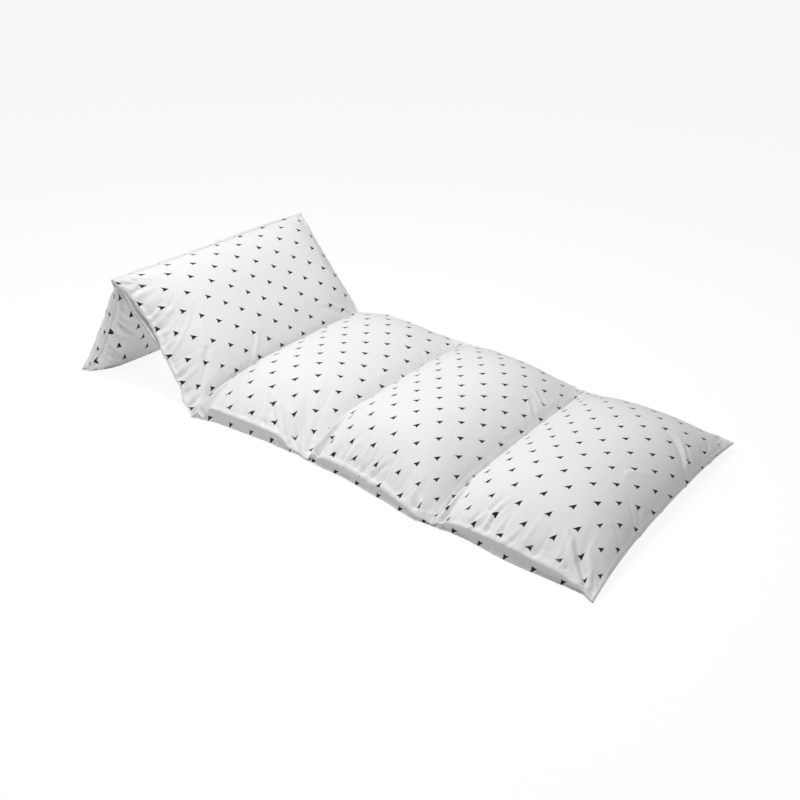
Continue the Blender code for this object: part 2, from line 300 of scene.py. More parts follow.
# Columns: u0, t0, u1, t1, width, start, end, bend, kind, face.
E_FOLDS = fold_table(
    (0.62, 0.026, 0.48, 0.1, 0.007, -0.013, -0.001, 0.003, SHARP, BACK),
    (0.57, 0.026, 0.45, 0.11, 0.007, 0.008, 0.0, 0.003, SOFT, BACK),
    (0.68, 0.026, 0.61, 0.09, 0.009, -0.01, -0.001, 0.0, SOFT, BACK),
    (0.49, 0.026, 0.45, 0.07, 0.006, -0.013, -0.001, 0.0, SHARP, BACK),
    (0.43, 0.026, 0.42, 0.06, 0.007, 0.007, 0.0, 0.0, SOFT, BACK),
    (0.38, 0.026, 0.42, 0.06, 0.006, -0.011, -0.001, 0.0, SOFT, BACK),
    (0.36, 0.026, 0.24, 0.09, 0.006, -0.013, -0.001, 0.004, SHARP, BACK),
    (0.3, 0.026, 0.25, 0.06, 0.006, -0.011, 0.0, 0.0, SOFT, BACK),
    (0.27, 0.026, 0.18, 0.09, 0.007, 0.007, 0.0, 0.003, SOFT, BACK),
    (0.23, 0.026, 0.17, 0.08, 0.006, -0.01, -0.001, 0.004, SHARP, BACK),
    (0.79, 0.026, 0.72, 0.04, 0.006, -0.008, 0.0, 0.0, SOFT, BACK),
    (0.53, 0.0, 0.52, 0.06, 0.006, -0.006, 0.0),
    (0.44, 0.0, 0.43, 0.06, 0.008, 0.005, 0.0),
    (0.31, 0.0, 0.31, 0.05, 0.006, -0.006, 0.0),
    (0.75, 0.0, 0.74, 0.06, 0.007, -0.004, 0.0),
    (0.04, 0.02, 0.97, 0.02, 0.003, -0.01, -0.01, 0.0, SHARP, BACK),
)

D_FOLDS = fold_table(
    (0.13, 0.0, 0.13, 0.06, 0.006, -0.01, -0.002, 0.004, SHARP),
    (0.17, 0.0, 0.17, 0.05, 0.008, 0.005, 0.0, 0.003),
    (0.06, 0.03, 0.06, 0.08, 0.008, -0.006, 0.0),
    (0.3, 0.01, 0.26, 0.08, 0.006, -0.01, -0.001, 0.0, SHARP),
    (0.33, 0.0, 0.26, 0.09, 0.007, 0.005, 0.0),
    (0.32, 0.08, 0.26, 0.13, 0.006, -0.005, 0.0),
    (0.35, 0.06, 0.28, 0.14, 0.007, 0.004, 0.0),
    (0.35, 0.0, 0.33, 0.03, 0.007, -0.009, -0.002),
    (0.41, 0.0, 0.41, 0.04, 0.008, -0.008, -0.002),
    (0.45, 0.02, 0.4, 0.1, 0.006, 0.004, 0.0),
    (0.59, 0.01, 0.36, 0.16, 0.007, 0.006, 0.001, -0.011),
    (0.57, 0.01, 0.54, 0.05, 0.005, -0.01, -0.003, 0.0, SHARP),
    (0.52, 0.06, 0.42, 0.12, 0.005, -0.005, -0.001),
    (0.51, 0.01, 0.48, 0.04, 0.006, -0.006, 0.0),
    (0.7, 0.11, 0.42, 0.19, 0.009, 0.003, 0.001, -0.008),
    (0.71, 0.14, 0.9, 0.06, 0.009, -0.005, -0.002),
    (0.75, 0.01, 0.73, 0.07, 0.006, -0.009, -0.001, 0.0, SHARP),
    (0.71, 0.01, 0.69, 0.06, 0.007, 0.006, 0.0),
    (0.78, 0.01, 0.76, 0.09, 0.007, 0.006, 0.0),
    (0.84, 0.0, 0.86, 0.04, 0.005, -0.007, -0.001),
    (0.88, 0.0, 0.86, 0.02, 0.008, -0.012, -0.005),
    (0.94, 0.01, 0.93, 0.05, 0.007, -0.008, -0.002),
    (0.78, 0.39, 0.94, 0.34, 0.008, 0.002, 0.0025),
    (0.8, 0.36, 0.94, 0.31, 0.008, -0.0012, -0.0015),
    (0.84, 0.44, 0.94, 0.41, 0.008, 0.0012, 0.0012),
    (0.82, 0.49, 0.93, 0.46, 0.009, -0.001, -0.001),
    (0.96, 0.97, 0.75, 0.88, 0.006, 0.006, 0.001),
    (0.96, 0.95, 0.75, 0.84, 0.006, -0.007, -0.001, 0.0, SHARP),
    (0.95, 0.93, 0.77, 0.78, 0.007, 0.004, 0.001),
    (0.94, 0.9, 0.78, 0.75, 0.007, -0.004, -0.001),
    (0.02, 0.22, 0.05, 0.28, 0.006, -0.004, -0.001),
)

C_FOLDS = fold_table(
    (0.036, 0.0, 0.052, 0.24, 0.013, 0.032, 0.0, 0.0, ROLL),
    (0.094, 0.0, 0.11, 0.22, 0.013, -0.026, 0.0),
    (0.086, 0.0, 0.1, 0.12, 0.005, -0.007, 0.0, 0.0, SHARP),
    (0.36, 0.04, 0.51, 0.0, 0.005, -0.002, -0.005, 0.0, SHARP),
    (0.585, 0.022, 0.62, 0.0, 0.006, -0.006, -0.005),
    (0.5, 0.1, 0.58, 0.04, 0.006, -0.002, -0.002),
    (0.53, 0.11, 0.62, 0.03, 0.008, 0.002, 0.002),
    (0.57, 0.085, 0.84, 0.0, 0.005, -0.003, -0.007, -0.013, SHARP),
    (0.67, 0.075, 0.86, 0.0, 0.005, -0.003, -0.008, -0.01, SHARP),
    (0.63, 0.07, 0.85, 0.0, 0.006, 0.002, 0.005, -0.012),
    (0.72, 0.075, 0.89, 0.0, 0.008, 0.003, 0.005, -0.008),
    (0.58, 0.2, 0.9, 0.01, 0.006, -0.001, -0.008, -0.008),
    (0.64, 0.22, 0.92, 0.015, 0.006, 0.001, 0.007, -0.006),
    (0.7, 0.24, 0.93, 0.02, 0.005, -0.001, -0.007, -0.005),
    (0.77, 0.26, 0.95, 0.03, 0.006, 0.001, 0.006, -0.003),
    (0.84, 0.27, 0.96, 0.04, 0.006, -0.001, -0.005),
    (0.86, 0.03, 0.97, 0.0, 0.006, 0.004, 0.004),
    (0.24, 0.0, 0.25, 0.05, 0.008, 0.004, 0.0),
    (0.3, 0.0, 0.31, 0.06, 0.007, -0.004, 0.0),
    (0.2, 0.03, 0.17, 0.13, 0.006, -0.0032, 0.0),
    (0.36, 0.02, 0.35, 0.16, 0.006, 0.0034, 0.0, 0.004),
    (0.42, 0.01, 0.4, 0.12, 0.005, -0.004, 0.0, -0.003),
    (0.47, 0.02, 0.46, 0.2, 0.006, 0.0036, 0.0, 0.005),
    (0.53, 0.02, 0.5, 0.15, 0.005, -0.0036, 0.0),
    (0.61, 0.05, 0.59, 0.19, 0.006, -0.0034, 0.0, 0.003),
)

B_FOLDS = fold_table(
    (0.028, 0.0, 0.045, 0.32, 0.011, 0.032, 0.0, 0.0, ROLL),
    (0.074, 0.0, 0.094, 0.28, 0.012, -0.026, 0.0),
    (0.068, 0.0, 0.084, 0.14, 0.005, -0.006, 0.0, 0.0, SHARP),
    (0.12, 0.07, 0.15, 0.14, 0.008, -0.005, 0.0, 0.004),
    (0.21, 0.0, 0.23, 0.05, 0.006, -0.006, 0.0),
    (0.28, 0.0, 0.35, 0.1, 0.005, -0.008, -0.001, 0.01, SHARP),
    (0.31, 0.0, 0.37, 0.08, 0.006, 0.006, 0.0, 0.006),
    (0.38, 0.0, 0.43, 0.03, 0.005, -0.006, 0.0),
    (0.43, 0.0, 0.5, 0.04, 0.006, -0.009, 0.0, 0.002, SHARP),
    (0.39, 0.0, 0.49, 0.05, 0.006, 0.005, 0.0),
    (0.53, 0.02, 0.57, 0.08, 0.004, -0.005, 0.0, 0.002, SHARP),
    (0.55, 0.03, 0.6, 0.08, 0.005, 0.005, 0.0),
    (0.52, 0.0, 0.64, 0.06, 0.006, -0.01, 0.0, 0.006, SHARP),
    (0.48, 0.0, 0.57, 0.05, 0.006, 0.006, 0.0),
    (0.58, 0.0, 0.585, 0.035, 0.004, -0.005, 0.0),
    (0.7, 0.0, 0.73, 0.02, 0.004, -0.005, 0.0),
    (0.76, 0.0, 0.785, 0.02, 0.005, -0.006, 0.0),
    (0.8, 0.01, 0.825, 0.035, 0.006, -0.005, 0.0),
    (0.87, 0.01, 0.9, 0.03, 0.007, -0.007, 0.0),
    (0.91, 0.03, 0.97, 0.0, 0.007, 0.005, 0.004),
    (0.91, 0.7, 0.99, 0.65, 0.004, -0.004, -0.005, 0.0, SHARP),
    (0.89, 0.68, 0.99, 0.635, 0.005, 0.003, 0.004),
    (0.88, 0.745, 0.99, 0.715, 0.006, 0.003, 0.004),
    (0.9, 0.755, 0.99, 0.742, 0.005, -0.003, -0.004),
    (0.95, 0.78, 0.99, 0.77, 0.005, -0.003, -0.003),
    (0.95, 0.39, 0.87, 0.46, 0.008, 0.003, 0.0),
    (0.99, 0.195, 0.94, 0.205, 0.006, -0.004, 0.0),
    (0.19, 0.02, 0.2, 0.14, 0.006, 0.0032, 0.0, 0.003),
    (0.25, 0.03, 0.27, 0.16, 0.006, -0.0034, 0.0),
    (0.41, 0.03, 0.44, 0.15, 0.006, 0.0032, 0.0, -0.004),
    (0.49, 0.04, 0.52, 0.17, 0.005, -0.0032, 0.0),
    (0.62, 0.02, 0.66, 0.12, 0.006, -0.0036, 0.0, 0.004),
    (0.66, 0.01, 0.71, 0.1, 0.005, 0.0025, 0.0),
    (0.74, 0.02, 0.79, 0.12, 0.006, -0.0038, 0.0),
    (0.84, 0.02, 0.87, 0.13, 0.006, 0.0032, 0.0, 0.004),
)

A_FOLDS = fold_table(
    (0.022, 0.0, 0.036, 0.24, 0.009, 0.028, 0.0, 0.0, ROLL),
    (0.06, 0.0, 0.074, 0.16, 0.01, -0.024, 0.0),
    (0.052, 0.0, 0.06, 0.05, 0.004, -0.007, 0.0, 0.0, SHARP),
    (0.088, 0.0, 0.1, 0.09, 0.009, 0.005, 0.0),
    (0.21, 0.0, 0.27, 0.06, 0.006, -0.01, -0.001, 0.0, SHARP),
    (0.235, 0.0, 0.3, 0.065, 0.006, 0.007, 0.0),
    (0.255, 0.0, 0.315, 0.04, 0.005, -0.008, 0.0, 0.0, SHARP),
    (0.32, 0.02, 0.39, 0.125, 0.007, 0.007, 0.0, 0.006),
    (0.3, 0.065, 0.37, 0.135, 0.005, -0.006, 0.0, 0.004),
    (0.335, 0.035, 0.4, 0.115, 0.005, -0.008, 0.0, 0.003, SHARP),
    (0.33, 0.01, 0.365, 0.05, 0.006, -0.007, 0.0),
    (0.365, 0.0, 0.42, 0.05, 0.006, 0.006, 0.0),
    (0.455, 0.0, 0.52, 0.05, 0.006, 0.008, 0.0),
    (0.485, 0.0, 0.525, 0.045, 0.006, -0.008, 0.0, 0.0, SHARP),
    (0.6, 0.0, 0.7, 0.04, 0.012, -0.006, -0.002),
    (0.7, 0.095, 0.82, 0.02, 0.005, -0.001, -0.006, 0.0, SHARP),
    (0.71, 0.11, 0.91, 0.0, 0.008, 0.001, 0.013),
    (0.77, 0.105, 0.93, 0.02, 0.006, -0.001, -0.008),
    (0.94, 0.095, 0.985, 0.055, 0.009, -0.002, -0.004, 0.008),
    (0.87, 0.195, 0.95, 0.222, 0.005, -0.001, -0.004, 0.0, SHARP),
    (0.88, 0.19, 0.97, 0.255, 0.006, 0.001, 0.003),
    (0.89, 0.335, 0.97, 0.3, 0.006, -0.001, -0.004),
    (0.92, 0.216, 0.98, 0.195, 0.006, -0.001, -0.004),
    (0.955, 0.35, 0.985, 0.315, 0.006, -0.005, -0.005),
    (0.73, 0.81, 0.97, 0.68, 0.008, 0.0, 0.007, 0.003),
    (0.77, 0.785, 0.96, 0.705, 0.005, -0.001, -0.006, 0.003, SHARP),
    (0.76, 0.74, 0.96, 0.66, 0.007, -0.001, -0.005, 0.003),
    (0.88, 0.75, 0.98, 0.722, 0.006, 0.001, 0.003),
    (0.95, 0.81, 0.99, 0.77, 0.006, -0.005, -0.005),
    (0.955, 0.856, 0.99, 0.806, 0.006, -0.005, -0.005),
    (0.95, 0.93, 0.99, 0.942, 0.006, -0.006, -0.006),
    (0.8, 0.42, 0.9, 0.51, 0.008, 0.002, 0.001),
    (0.17, 0.02, 0.19, 0.12, 0.006, 0.0032, 0.0),
    (0.42, 0.03, 0.46, 0.14, 0.006, -0.0036, 0.0, 0.003),
    (0.56, 0.02, 0.6, 0.13, 0.006, 0.0032, 0.0),
    (0.64, 0.01, 0.67, 0.11, 0.005, -0.0034, 0.0, -0.003),
    (0.8, 0.02, 0.77, 0.15, 0.006, 0.003, 0.0),
    (0.88, 0.03, 0.83, 0.18, 0.006, -0.002, 0.0, 0.004),
)

POCKETS = (
    Pocket(
        name="e",
        top_rise=0.062, bottom_rise=0.072, far_in=0.02, mouth_drop=0.034,
        left=0.085, right=0.17, near=0.13, far=0.18,
        mouth=(
            (0.0, 0.0, 0.0), (0.2, 0.007, 0.009), (0.5, 0.012, 0.015),
            (0.9, 0.008, 0.010), (1.0, 0.0, 0.0),
        ),
        hem=((0.0, 0.0), (0.12, -0.026), (0.5, -0.032), (0.88, -0.026), (1.0, 0.0)),
        folds=E_FOLDS,
        marks=Print(0.0778, 0.0980, 0.0, 0.0, 0.0, 0.0),
        back_marks=Print(0.1415, 0.0775, -0.0059, -0.0198, -0.1566, -0.3899),
        recess=0.006,
        hem_hold=0.2,
        mouth_root=0.66,
    ),
    Pocket(
        name="d",
        top_rise=0.062, bottom_rise=0.062, far_in=0.004, mouth_drop=0.03,
        left=0.17, right=0.17, near=0.22, far=0.16,
        mouth=(
            (0.0, 0.0, 0.0), (0.14, 0.031, 0.024), (0.40, 0.044, 0.036), (0.58, 0.027, 0.047),
            (0.78, 0.020, 0.044), (0.93, 0.006, 0.026), (1.0, 0.0, 0.0),
        ),
        hem=((0.0, 0.0), (0.12, -0.010), (0.5, -0.013), (0.88, -0.008), (1.0, 0.0)),
        folds=D_FOLDS,
        marks=Print(0.0804, 0.0983, 0.0005, -0.0032, -0.0160, 0.0552),
        back_marks=Print(0.0778, 0.0980, 0.0, 0.0, 0.0, 0.0),
        flap=(0.03, 0.97),
        flap_creases=(0.12, 0.31, 0.55, 0.72),
        recess=0.026,
        hem_hold=0.2,
        mouth_root=0.70,
    ),
    Pocket(
        name="c",
        top_rise=0.108, bottom_rise=0.06, far_in=0.008, mouth_drop=0.0,
        left=0.2, right=0.21, near=0.3, far=0.24,
        mouth=(
            (0.0, 0.0, 0.0), (0.2, 0.014, 0.018), (0.6, 0.014, 0.018),
            (0.9, 0.005, 0.007), (1.0, 0.0, 0.0),
        ),
        hem=(
            (0.0, 0.0), (0.08, 0.014), (0.16, 0.040), (0.45, 0.038),
            (0.74, 0.034), (0.88, 0.008), (1.0, 0.0),
        ),
        folds=C_FOLDS,
        marks=Print(0.0727, 0.0974, 0.0030, 0.0079, 0.0552, -0.0271),
        back_marks=Print(0.0826, 0.0980, 0.0, 0.0, 0.0848, -0.4090),
        flap=(0.03, 0.97),
        flap_creases=(0.45, 0.58, 0.66, 0.73, 0.80),
        mouth_left=0.24,
    ),
    Pocket(
        name="b",
        top_rise=0.118, bottom_rise=0.06, far_in=0.008, mouth_drop=0.0,
        left=0.18, right=0.21, near=0.19, far=0.28,
        mouth=(
            (0.0, 0.0, 0.0), (0.3, 0.004, 0.008), (0.6, 0.000, 0.002),
            (0.9, -0.010, -0.008), (1.0, 0.0, 0.0),
        ),
        hem=(
            (0.0, 0.0), (0.06, 0.024), (0.20, 0.030), (0.60, 0.027),
            (0.80, 0.022), (0.92, 0.012), (1.0, 0.0),
        ),
        folds=B_FOLDS,
        marks=Print(0.0608, 0.0919, 0.0117, 0.0049, -0.0650, -0.0497),
        back_marks=Print(0.0827, 0.0886, 0.0, 0.0, 0.1225, -0.4040),
        flap=(0.03, 0.97),
        flap_creases=(0.14, 0.20, 0.36, 0.52, 0.70),
        mouth_left=0.22,
    ),
    Pocket(
        name="a",
        top_rise=0.11, bottom_rise=0.06, far_in=0.008, mouth_drop=0.0,
        left=0.21, right=0.2, near=0.26, far=0.31,
        mouth=(
            (0.0, 0.0, 0.0), (0.2, 0.006, 0.011), (0.5, 0.002, 0.004),
            (0.9, 0.006, 0.012), (1.0, 0.0, 0.0),
        ),
        hem=(
            (0.0, 0.0), (0.07, 0.022), (0.24, 0.032), (0.50, 0.036),
            (0.77, 0.029), (0.90, 0.014), (1.0, 0.0),
        ),
        folds=A_FOLDS,
        marks=Print(0.0669, 0.0857, 0.0040, 0.0039, -0.0112, 0.0476),
        back_marks=Print(0.0778, 0.0864, 0.0, 0.0, 0.1666, -0.4070),
        flap=(0.03, 0.97),
        flap_creases=(0.05, 0.27, 0.40, 0.62, 0.78),
        mouth_left=0.24,
    ),
)


@dataclass(frozen=True)
class Puckers:
    """Small folds that run in from a pocket's sides, where more cloth is gathered than the seam holds.

    Args:
        per_metre: how many start along a metre of side.
        reach: the longest, in metres.
        height: the highest, in metres.
        width: the least half width, in metres.
        mouth_share: how much longer and higher they are at the mouth.
        shortest, lowest: the least length and height, as shares of the most.
        broadest: the most half width, as a share of the least.
        slant, bend: the most that one leans and bows, as shares of its length.
        jitter: shares of a step between which one starts.
    """

    per_metre: float = 34.0
    reach: float = 0.075
    height: float = 0.0024
    width: float = 0.0042
    mouth_share: float = 1.5
    shortest: float = 0.35
    lowest: float = 0.4
    broadest: float = 1.7
    slant: float = 0.45
    bend: float = 0.12
    jitter: tuple[float, float] = (0.2, 0.8)

    def folds(self, pocket: Pocket, seed: int) -> list[Fold]:
        """The puckers of one pocket's top and bottom, the same in each run."""
        rng = np.random.default_rng(seed)
        found = []
        for face in Face:
            for side in ("left", "right", "near", "far"):
                run = FLAT_LENGTH if side in ("near", "far") else FLAT_WIDTH
                count = int(self.per_metre * run)
                for place in (np.arange(count) + rng.uniform(*self.jitter, count)) / count:
                    found.append(self.one(side, place, face, rng))
        return found

    def one(self, side: str, place: float, face: Face, rng: np.random.Generator) -> Fold:
        """One pucker that starts on a side at a share of its run."""
        more = self.mouth_share if side == "near" else 1.0
        reach = self.reach * rng.uniform(self.shortest, 1.0) * more
        slant = rng.uniform(-self.slant, self.slant) * reach
        height = self.height * rng.uniform(self.lowest, 1.0) * rng.choice([-1.0, 1.0]) * more
        width = self.width * rng.uniform(1.0, self.broadest)
        bend = rng.uniform(-self.bend, self.bend) * reach
        if side in ("left", "right"):
            u = reach / FLAT_LENGTH
            start, end = (0.0, u) if side == "left" else (1.0, 1 - u)
            return Fold(start, place, end, place + slant / FLAT_WIDTH, width, height, 0.0, bend, face=face)
        t = reach / FLAT_WIDTH
        start, end = (0.0, t) if side == "near" else (1.0, 1 - t)
        return Fold(place, start, place + slant / FLAT_LENGTH, end, width, height, 0.0, bend, face=face)


@dataclass
class CoverShape:
    """The whole filled cover's form, read pocket by pocket as grids of points.

    Args:
        seams, pockets: its sewn lines and what lies between them, from the folded end.
        puckers: the small folds at the sides.
        side_power, side_root: how a cloth rounds off towards the seams.
        end_power, end_root: the same towards the far edge; the power counts at the mouth too.
        press_share: how near the middle plane between two pockets a cloth may come.
        open_slope: the steepest rise where no pocket leans on the cloth.
        least_fold: the least turn, in radians, that counts as leaning.
        fold_steps: straight steps in a fold's bowed line.
        broad_fold: least half width of the folds that the coarse shell has.
        hem_depth: how deep the stiff hem is.
        pucker_start: distance from the mouth over which the puckers fade in.
        mouth_reach: share of the width over which mouth_left fades out.
        seam_fade, pucker_fade: how fast the folds and the puckers fade in beside a seam.
    """

    seams: tuple[Seam, ...] = SEAMS
    pockets: tuple[Pocket, ...] = POCKETS
    puckers: Puckers = field(default_factory=Puckers)
    side_power: float = 2.2
    side_root: float = 0.62
    end_power: float = 2.4
    end_root: float = 0.66
    press_share: float = 0.92
    open_slope: float = 50.0
    least_fold: float = 0.02
    fold_steps: int = 6
    broad_fold: float = 0.010
    hem_depth: float = 0.016
    pucker_start: float = 0.012
    mouth_reach: float = 0.45
    seam_fade: float = 2.0
    pucker_fade: float = 3.0

    def axes(self, index: int, t: Array) -> tuple[Array, Array, Array]:
        """Length of a pocket and its unit vectors along and out of its top, at t across it."""
        run = self.seams[index + 1].point(t) - self.seams[index].point(t)
        length = np.hypot(run[..., 0], run[..., 2])
        zero = np.zeros_like(length)
        along = np.stack([run[..., 0] / length, zero, run[..., 2] / length], axis=-1)
        normal = np.stack([-along[..., 2], zero, along[..., 0]], axis=-1)
        return length, along, normal

    def seam_normal(self, index: int, t: Array) -> Array:
        """Normal at a seam, halfway between those of the pockets that share it."""
        sides = [i for i in (index - 1, index) if 0 <= i < len(self.pockets)]
        total = sum(self.axes(i, t)[2] for i in sides)
        return total / np.linalg.norm(total, axis=-1, keepdims=True)

    def press_slope(self, index: int, t: Array, at_right: bool, face: Face) -> Array:
        """Steepest rise that a cloth may have beside a seam where the next pocket leans on it."""
        other = index + 1 if at_right else index - 1
        if not 0 <= other < len(self.pockets):
            return np.full(t.shape, self.open_slope)
        along = self.axes(index, t)[1]
        beyond = self.axes(other, t)[1]
        turn = np.arctan2(beyond[..., 2], beyond[..., 0]) - np.arctan2(along[..., 2], along[..., 0])
        folded = turn if at_right == (face is Face.TOP) else -turn
        slope = self.press_share * np.tan((math.pi - np.maximum(folded, self.least_fold)) / 2)
        return np.where(folded > self.least_fold, slope, self.open_slope)

    def fold_heights(self, folds: list[Fold], u: Array, t: Array, length: float, width: float) -> Array:
        """Sum of these folds over a grid of u and t."""
        total = np.zeros(u.shape)
        shares = np.linspace(0, 1, self.fold_steps + 1)
        for fold in folds:
            start = np.array([fold.u0 * length, fold.t0 * width])
            run = np.array([fold.u1 * length, fold.t1 * width]) - start
            side = np.array([-run[1], run[0]]) / np.hypot(*run)
            bow = fold.bend * 4 * shares * (1 - shares)
            line = start + shares[:, None] * run + bow[:, None] * side
            margin = FOLD_REACH * fold.width
            low = line.min(axis=0) - margin
            high = line.max(axis=0) + margin
            x = u * length
            y = t * width
            near = (x > low[0]) & (x < high[0]) & (y > low[1]) & (y < high[1])
            if near.any():
                total[near] += self.fold_profile(fold, line, shares, x[near], y[near])
        return total

    @staticmethod
    def fold_profile(fold: Fold, line: Array, shares: Array, x: Array, y: Array) -> Array:
        """Height of one fold at points x and y, from its distance to the fold's line."""
        best = np.full(x.shape, np.inf)
        place = np.zeros(x.shape)
        for a, b, s0, s1 in zip(line[:-1], line[1:], shares[:-1], shares[1:]):
            run = b - a
            f = np.clip(((x - a[0]) * run[0] + (y - a[1]) * run[1]) / (run @ run), 0, 1)
            distance = np.hypot(x - a[0] - f * run[0], y - a[1] - f * run[1])
            nearer = distance < best
            best = np.where(nearer, distance, best)
            place = np.where(nearer, s0 + (s1 - s0) * f, place)
        height = fold.start + (fold.end - fold.start) * place
        d = best / fold.width
        if fold.kind is FoldKind.SHARP:
            profile = np.exp(-np.sqrt(d * d + SHARP_ROUND) * SHARP_FALL + SHARP_LIFT)
        elif fold.kind is FoldKind.ROLL:
            profile = np.exp(-(d ** 4))
        else:
            profile = np.exp(-(d ** 2))
        return height * profile

    def patch(self, index: int, us: Array, ts: Array, face: Face, fine: bool) -> Patch:
        """One cloth of a pocket at a grid of shares along it and across it.

        Args:
            index: which pocket.
            us, ts: the grid's shares along and across.
            face: which cloth.
            fine: whether the narrow folds and the puckers are in it.
        """
        pocket = self.pockets[index]
        u, t = np.meshgrid(us, ts, indexing="ij")
        length, _, normal = self.axes(index, t)
        share = u[..., None]
        base = self.seams[index].point(t) * (1 - share) + self.seams[index + 1].point(t) * share
        for station, seam in ((0, index), (-1, index + 1)):
            normal[station] = self.seam_normal(seam, t[station])
        width = self.seams[index].near_half + self.seams[index].far_half
        along = 1.0
        at_mouth = 1 - smooth(t / self.mouth_reach)
        left = pocket.left + ((pocket.mouth_left or pocket.left) - pocket.left) * at_mouth
        for distance, side in ((u * length, left), ((1 - u) * length, pocket.right)):
            along = along * rounding(distance, side, self.side_power, self.side_root)
        near = rounding(t * width, pocket.near, self.end_power, pocket.mouth_root)
        far = rounding((1 - t) * width, pocket.far, self.end_power, self.end_root)
        if face is Face.TOP:
            rise, edge, column = pocket.top_rise, through(pocket.hem, 1, u), 1
        else:
            rise, edge, column = pocket.bottom_rise, pocket.mouth_drop * arch(u), 2
        height = SEAM_HALF + edge * (1 - near) + rise * along * near * far
        folds = [fold for fold in pocket.folds if fold.face is face]
        small = []
        if fine:
            small = [fold for fold in self.puckers.folds(pocket, index) if fold.face is face]
        else:
            folds = [fold for fold in folds if fold.width >= self.broad_fold]
        mean = float(length.mean())
        loose = 1 - pocket.hem_hold * (1 - smooth(t * width / self.hem_depth))
        beside = np.clip(along * self.seam_fade, 0, 1)
        height += self.fold_heights(folds, u, t, mean, width) * beside * loose
        free = smooth(along * self.pucker_fade) * smooth(t * width / self.pucker_start)
        height += self.fold_heights(small, u, t, mean, width) * free
        limit = np.full(u.shape, np.inf)
        for at_right, distance in ((False, u * length), (True, (1 - u) * length)):
            limit = np.minimum(limit, distance * self.press_slope(index, t, at_right, face))
        limit[[0, -1]] = np.inf
        height = np.minimum(height, limit)
        base[..., 1] += through(pocket.mouth, column, u) * (1 - t) - pocket.far_in * arch(u) * t
        sign = 1.0 if face is Face.TOP else -1.0
        return Patch(base, normal * sign, height, limit)


@dataclass(frozen=True)
class ClothSettings:
    """How a shell of cloth settles round its pillow.

    Args:
        pressure: push of the filling.
        slack: share by which the cloth beside a seam or mouth is larger than the form it starts from.
        slack_reach: distance from a side over which that slack fades, in metres.
        frames: steps of the simulation.
        cap: how far a point may move, in metres.
        bending: stiffness of the cotton against creasing.
        tension: stiffness of the cotton along its threads.
        shear: stiffness of the cotton across its threads.
        damping: how much the air slows it.
        quality: steps of the solver in a frame.
        floor_gap: points lower than this rest on the floor and are held.
    """

    pressure: float = 3.0
    slack: float = 0.04
    slack_reach: float = 0.09
    frames: int = 20
    cap: float = 0.005
    bending: float = 0.10
    tension: float = 15.0
    shear: float = 4.0
    damping: float = 2.0
    quality: int = 5
    floor_gap: float = 1e-4


def shares(count: int, near: float, far: float) -> Array:
    """Shares from 0 to 1 whose steps are smaller by these parts at the near and the far end."""
    x = (np.arange(count) + 0.5) / count
    steps = 1 - near * (1 - x) ** 2 - far * x**2
    return np.concatenate([[0], np.cumsum(steps)]) / steps.sum()


def reading(coarse: Array, fine: Array) -> Array:
    """Weights that read a smooth curve through values at coarse shares at the fine shares."""
    place = np.interp(fine, coarse, np.arange(len(coarse)))
    left = np.clip(place.astype(int), 0, len(coarse) - 2)
    f = place - left
    terms = (
        (-1, (-f + 2 * f**2 - f**3) / 2),
        (0, (2 - 5 * f**2 + 3 * f**3) / 2),
        (1, (f + 4 * f**2 - 3 * f**3) / 2),
        (2, (f**3 - f**2) / 2),
    )
    weights = np.zeros((len(fine), len(coarse)))
    rows = np.arange(len(fine))
    for step, term in terms:
        np.add.at(weights, (rows, np.clip(left + step, 0, len(coarse) - 1)), term)
    return weights


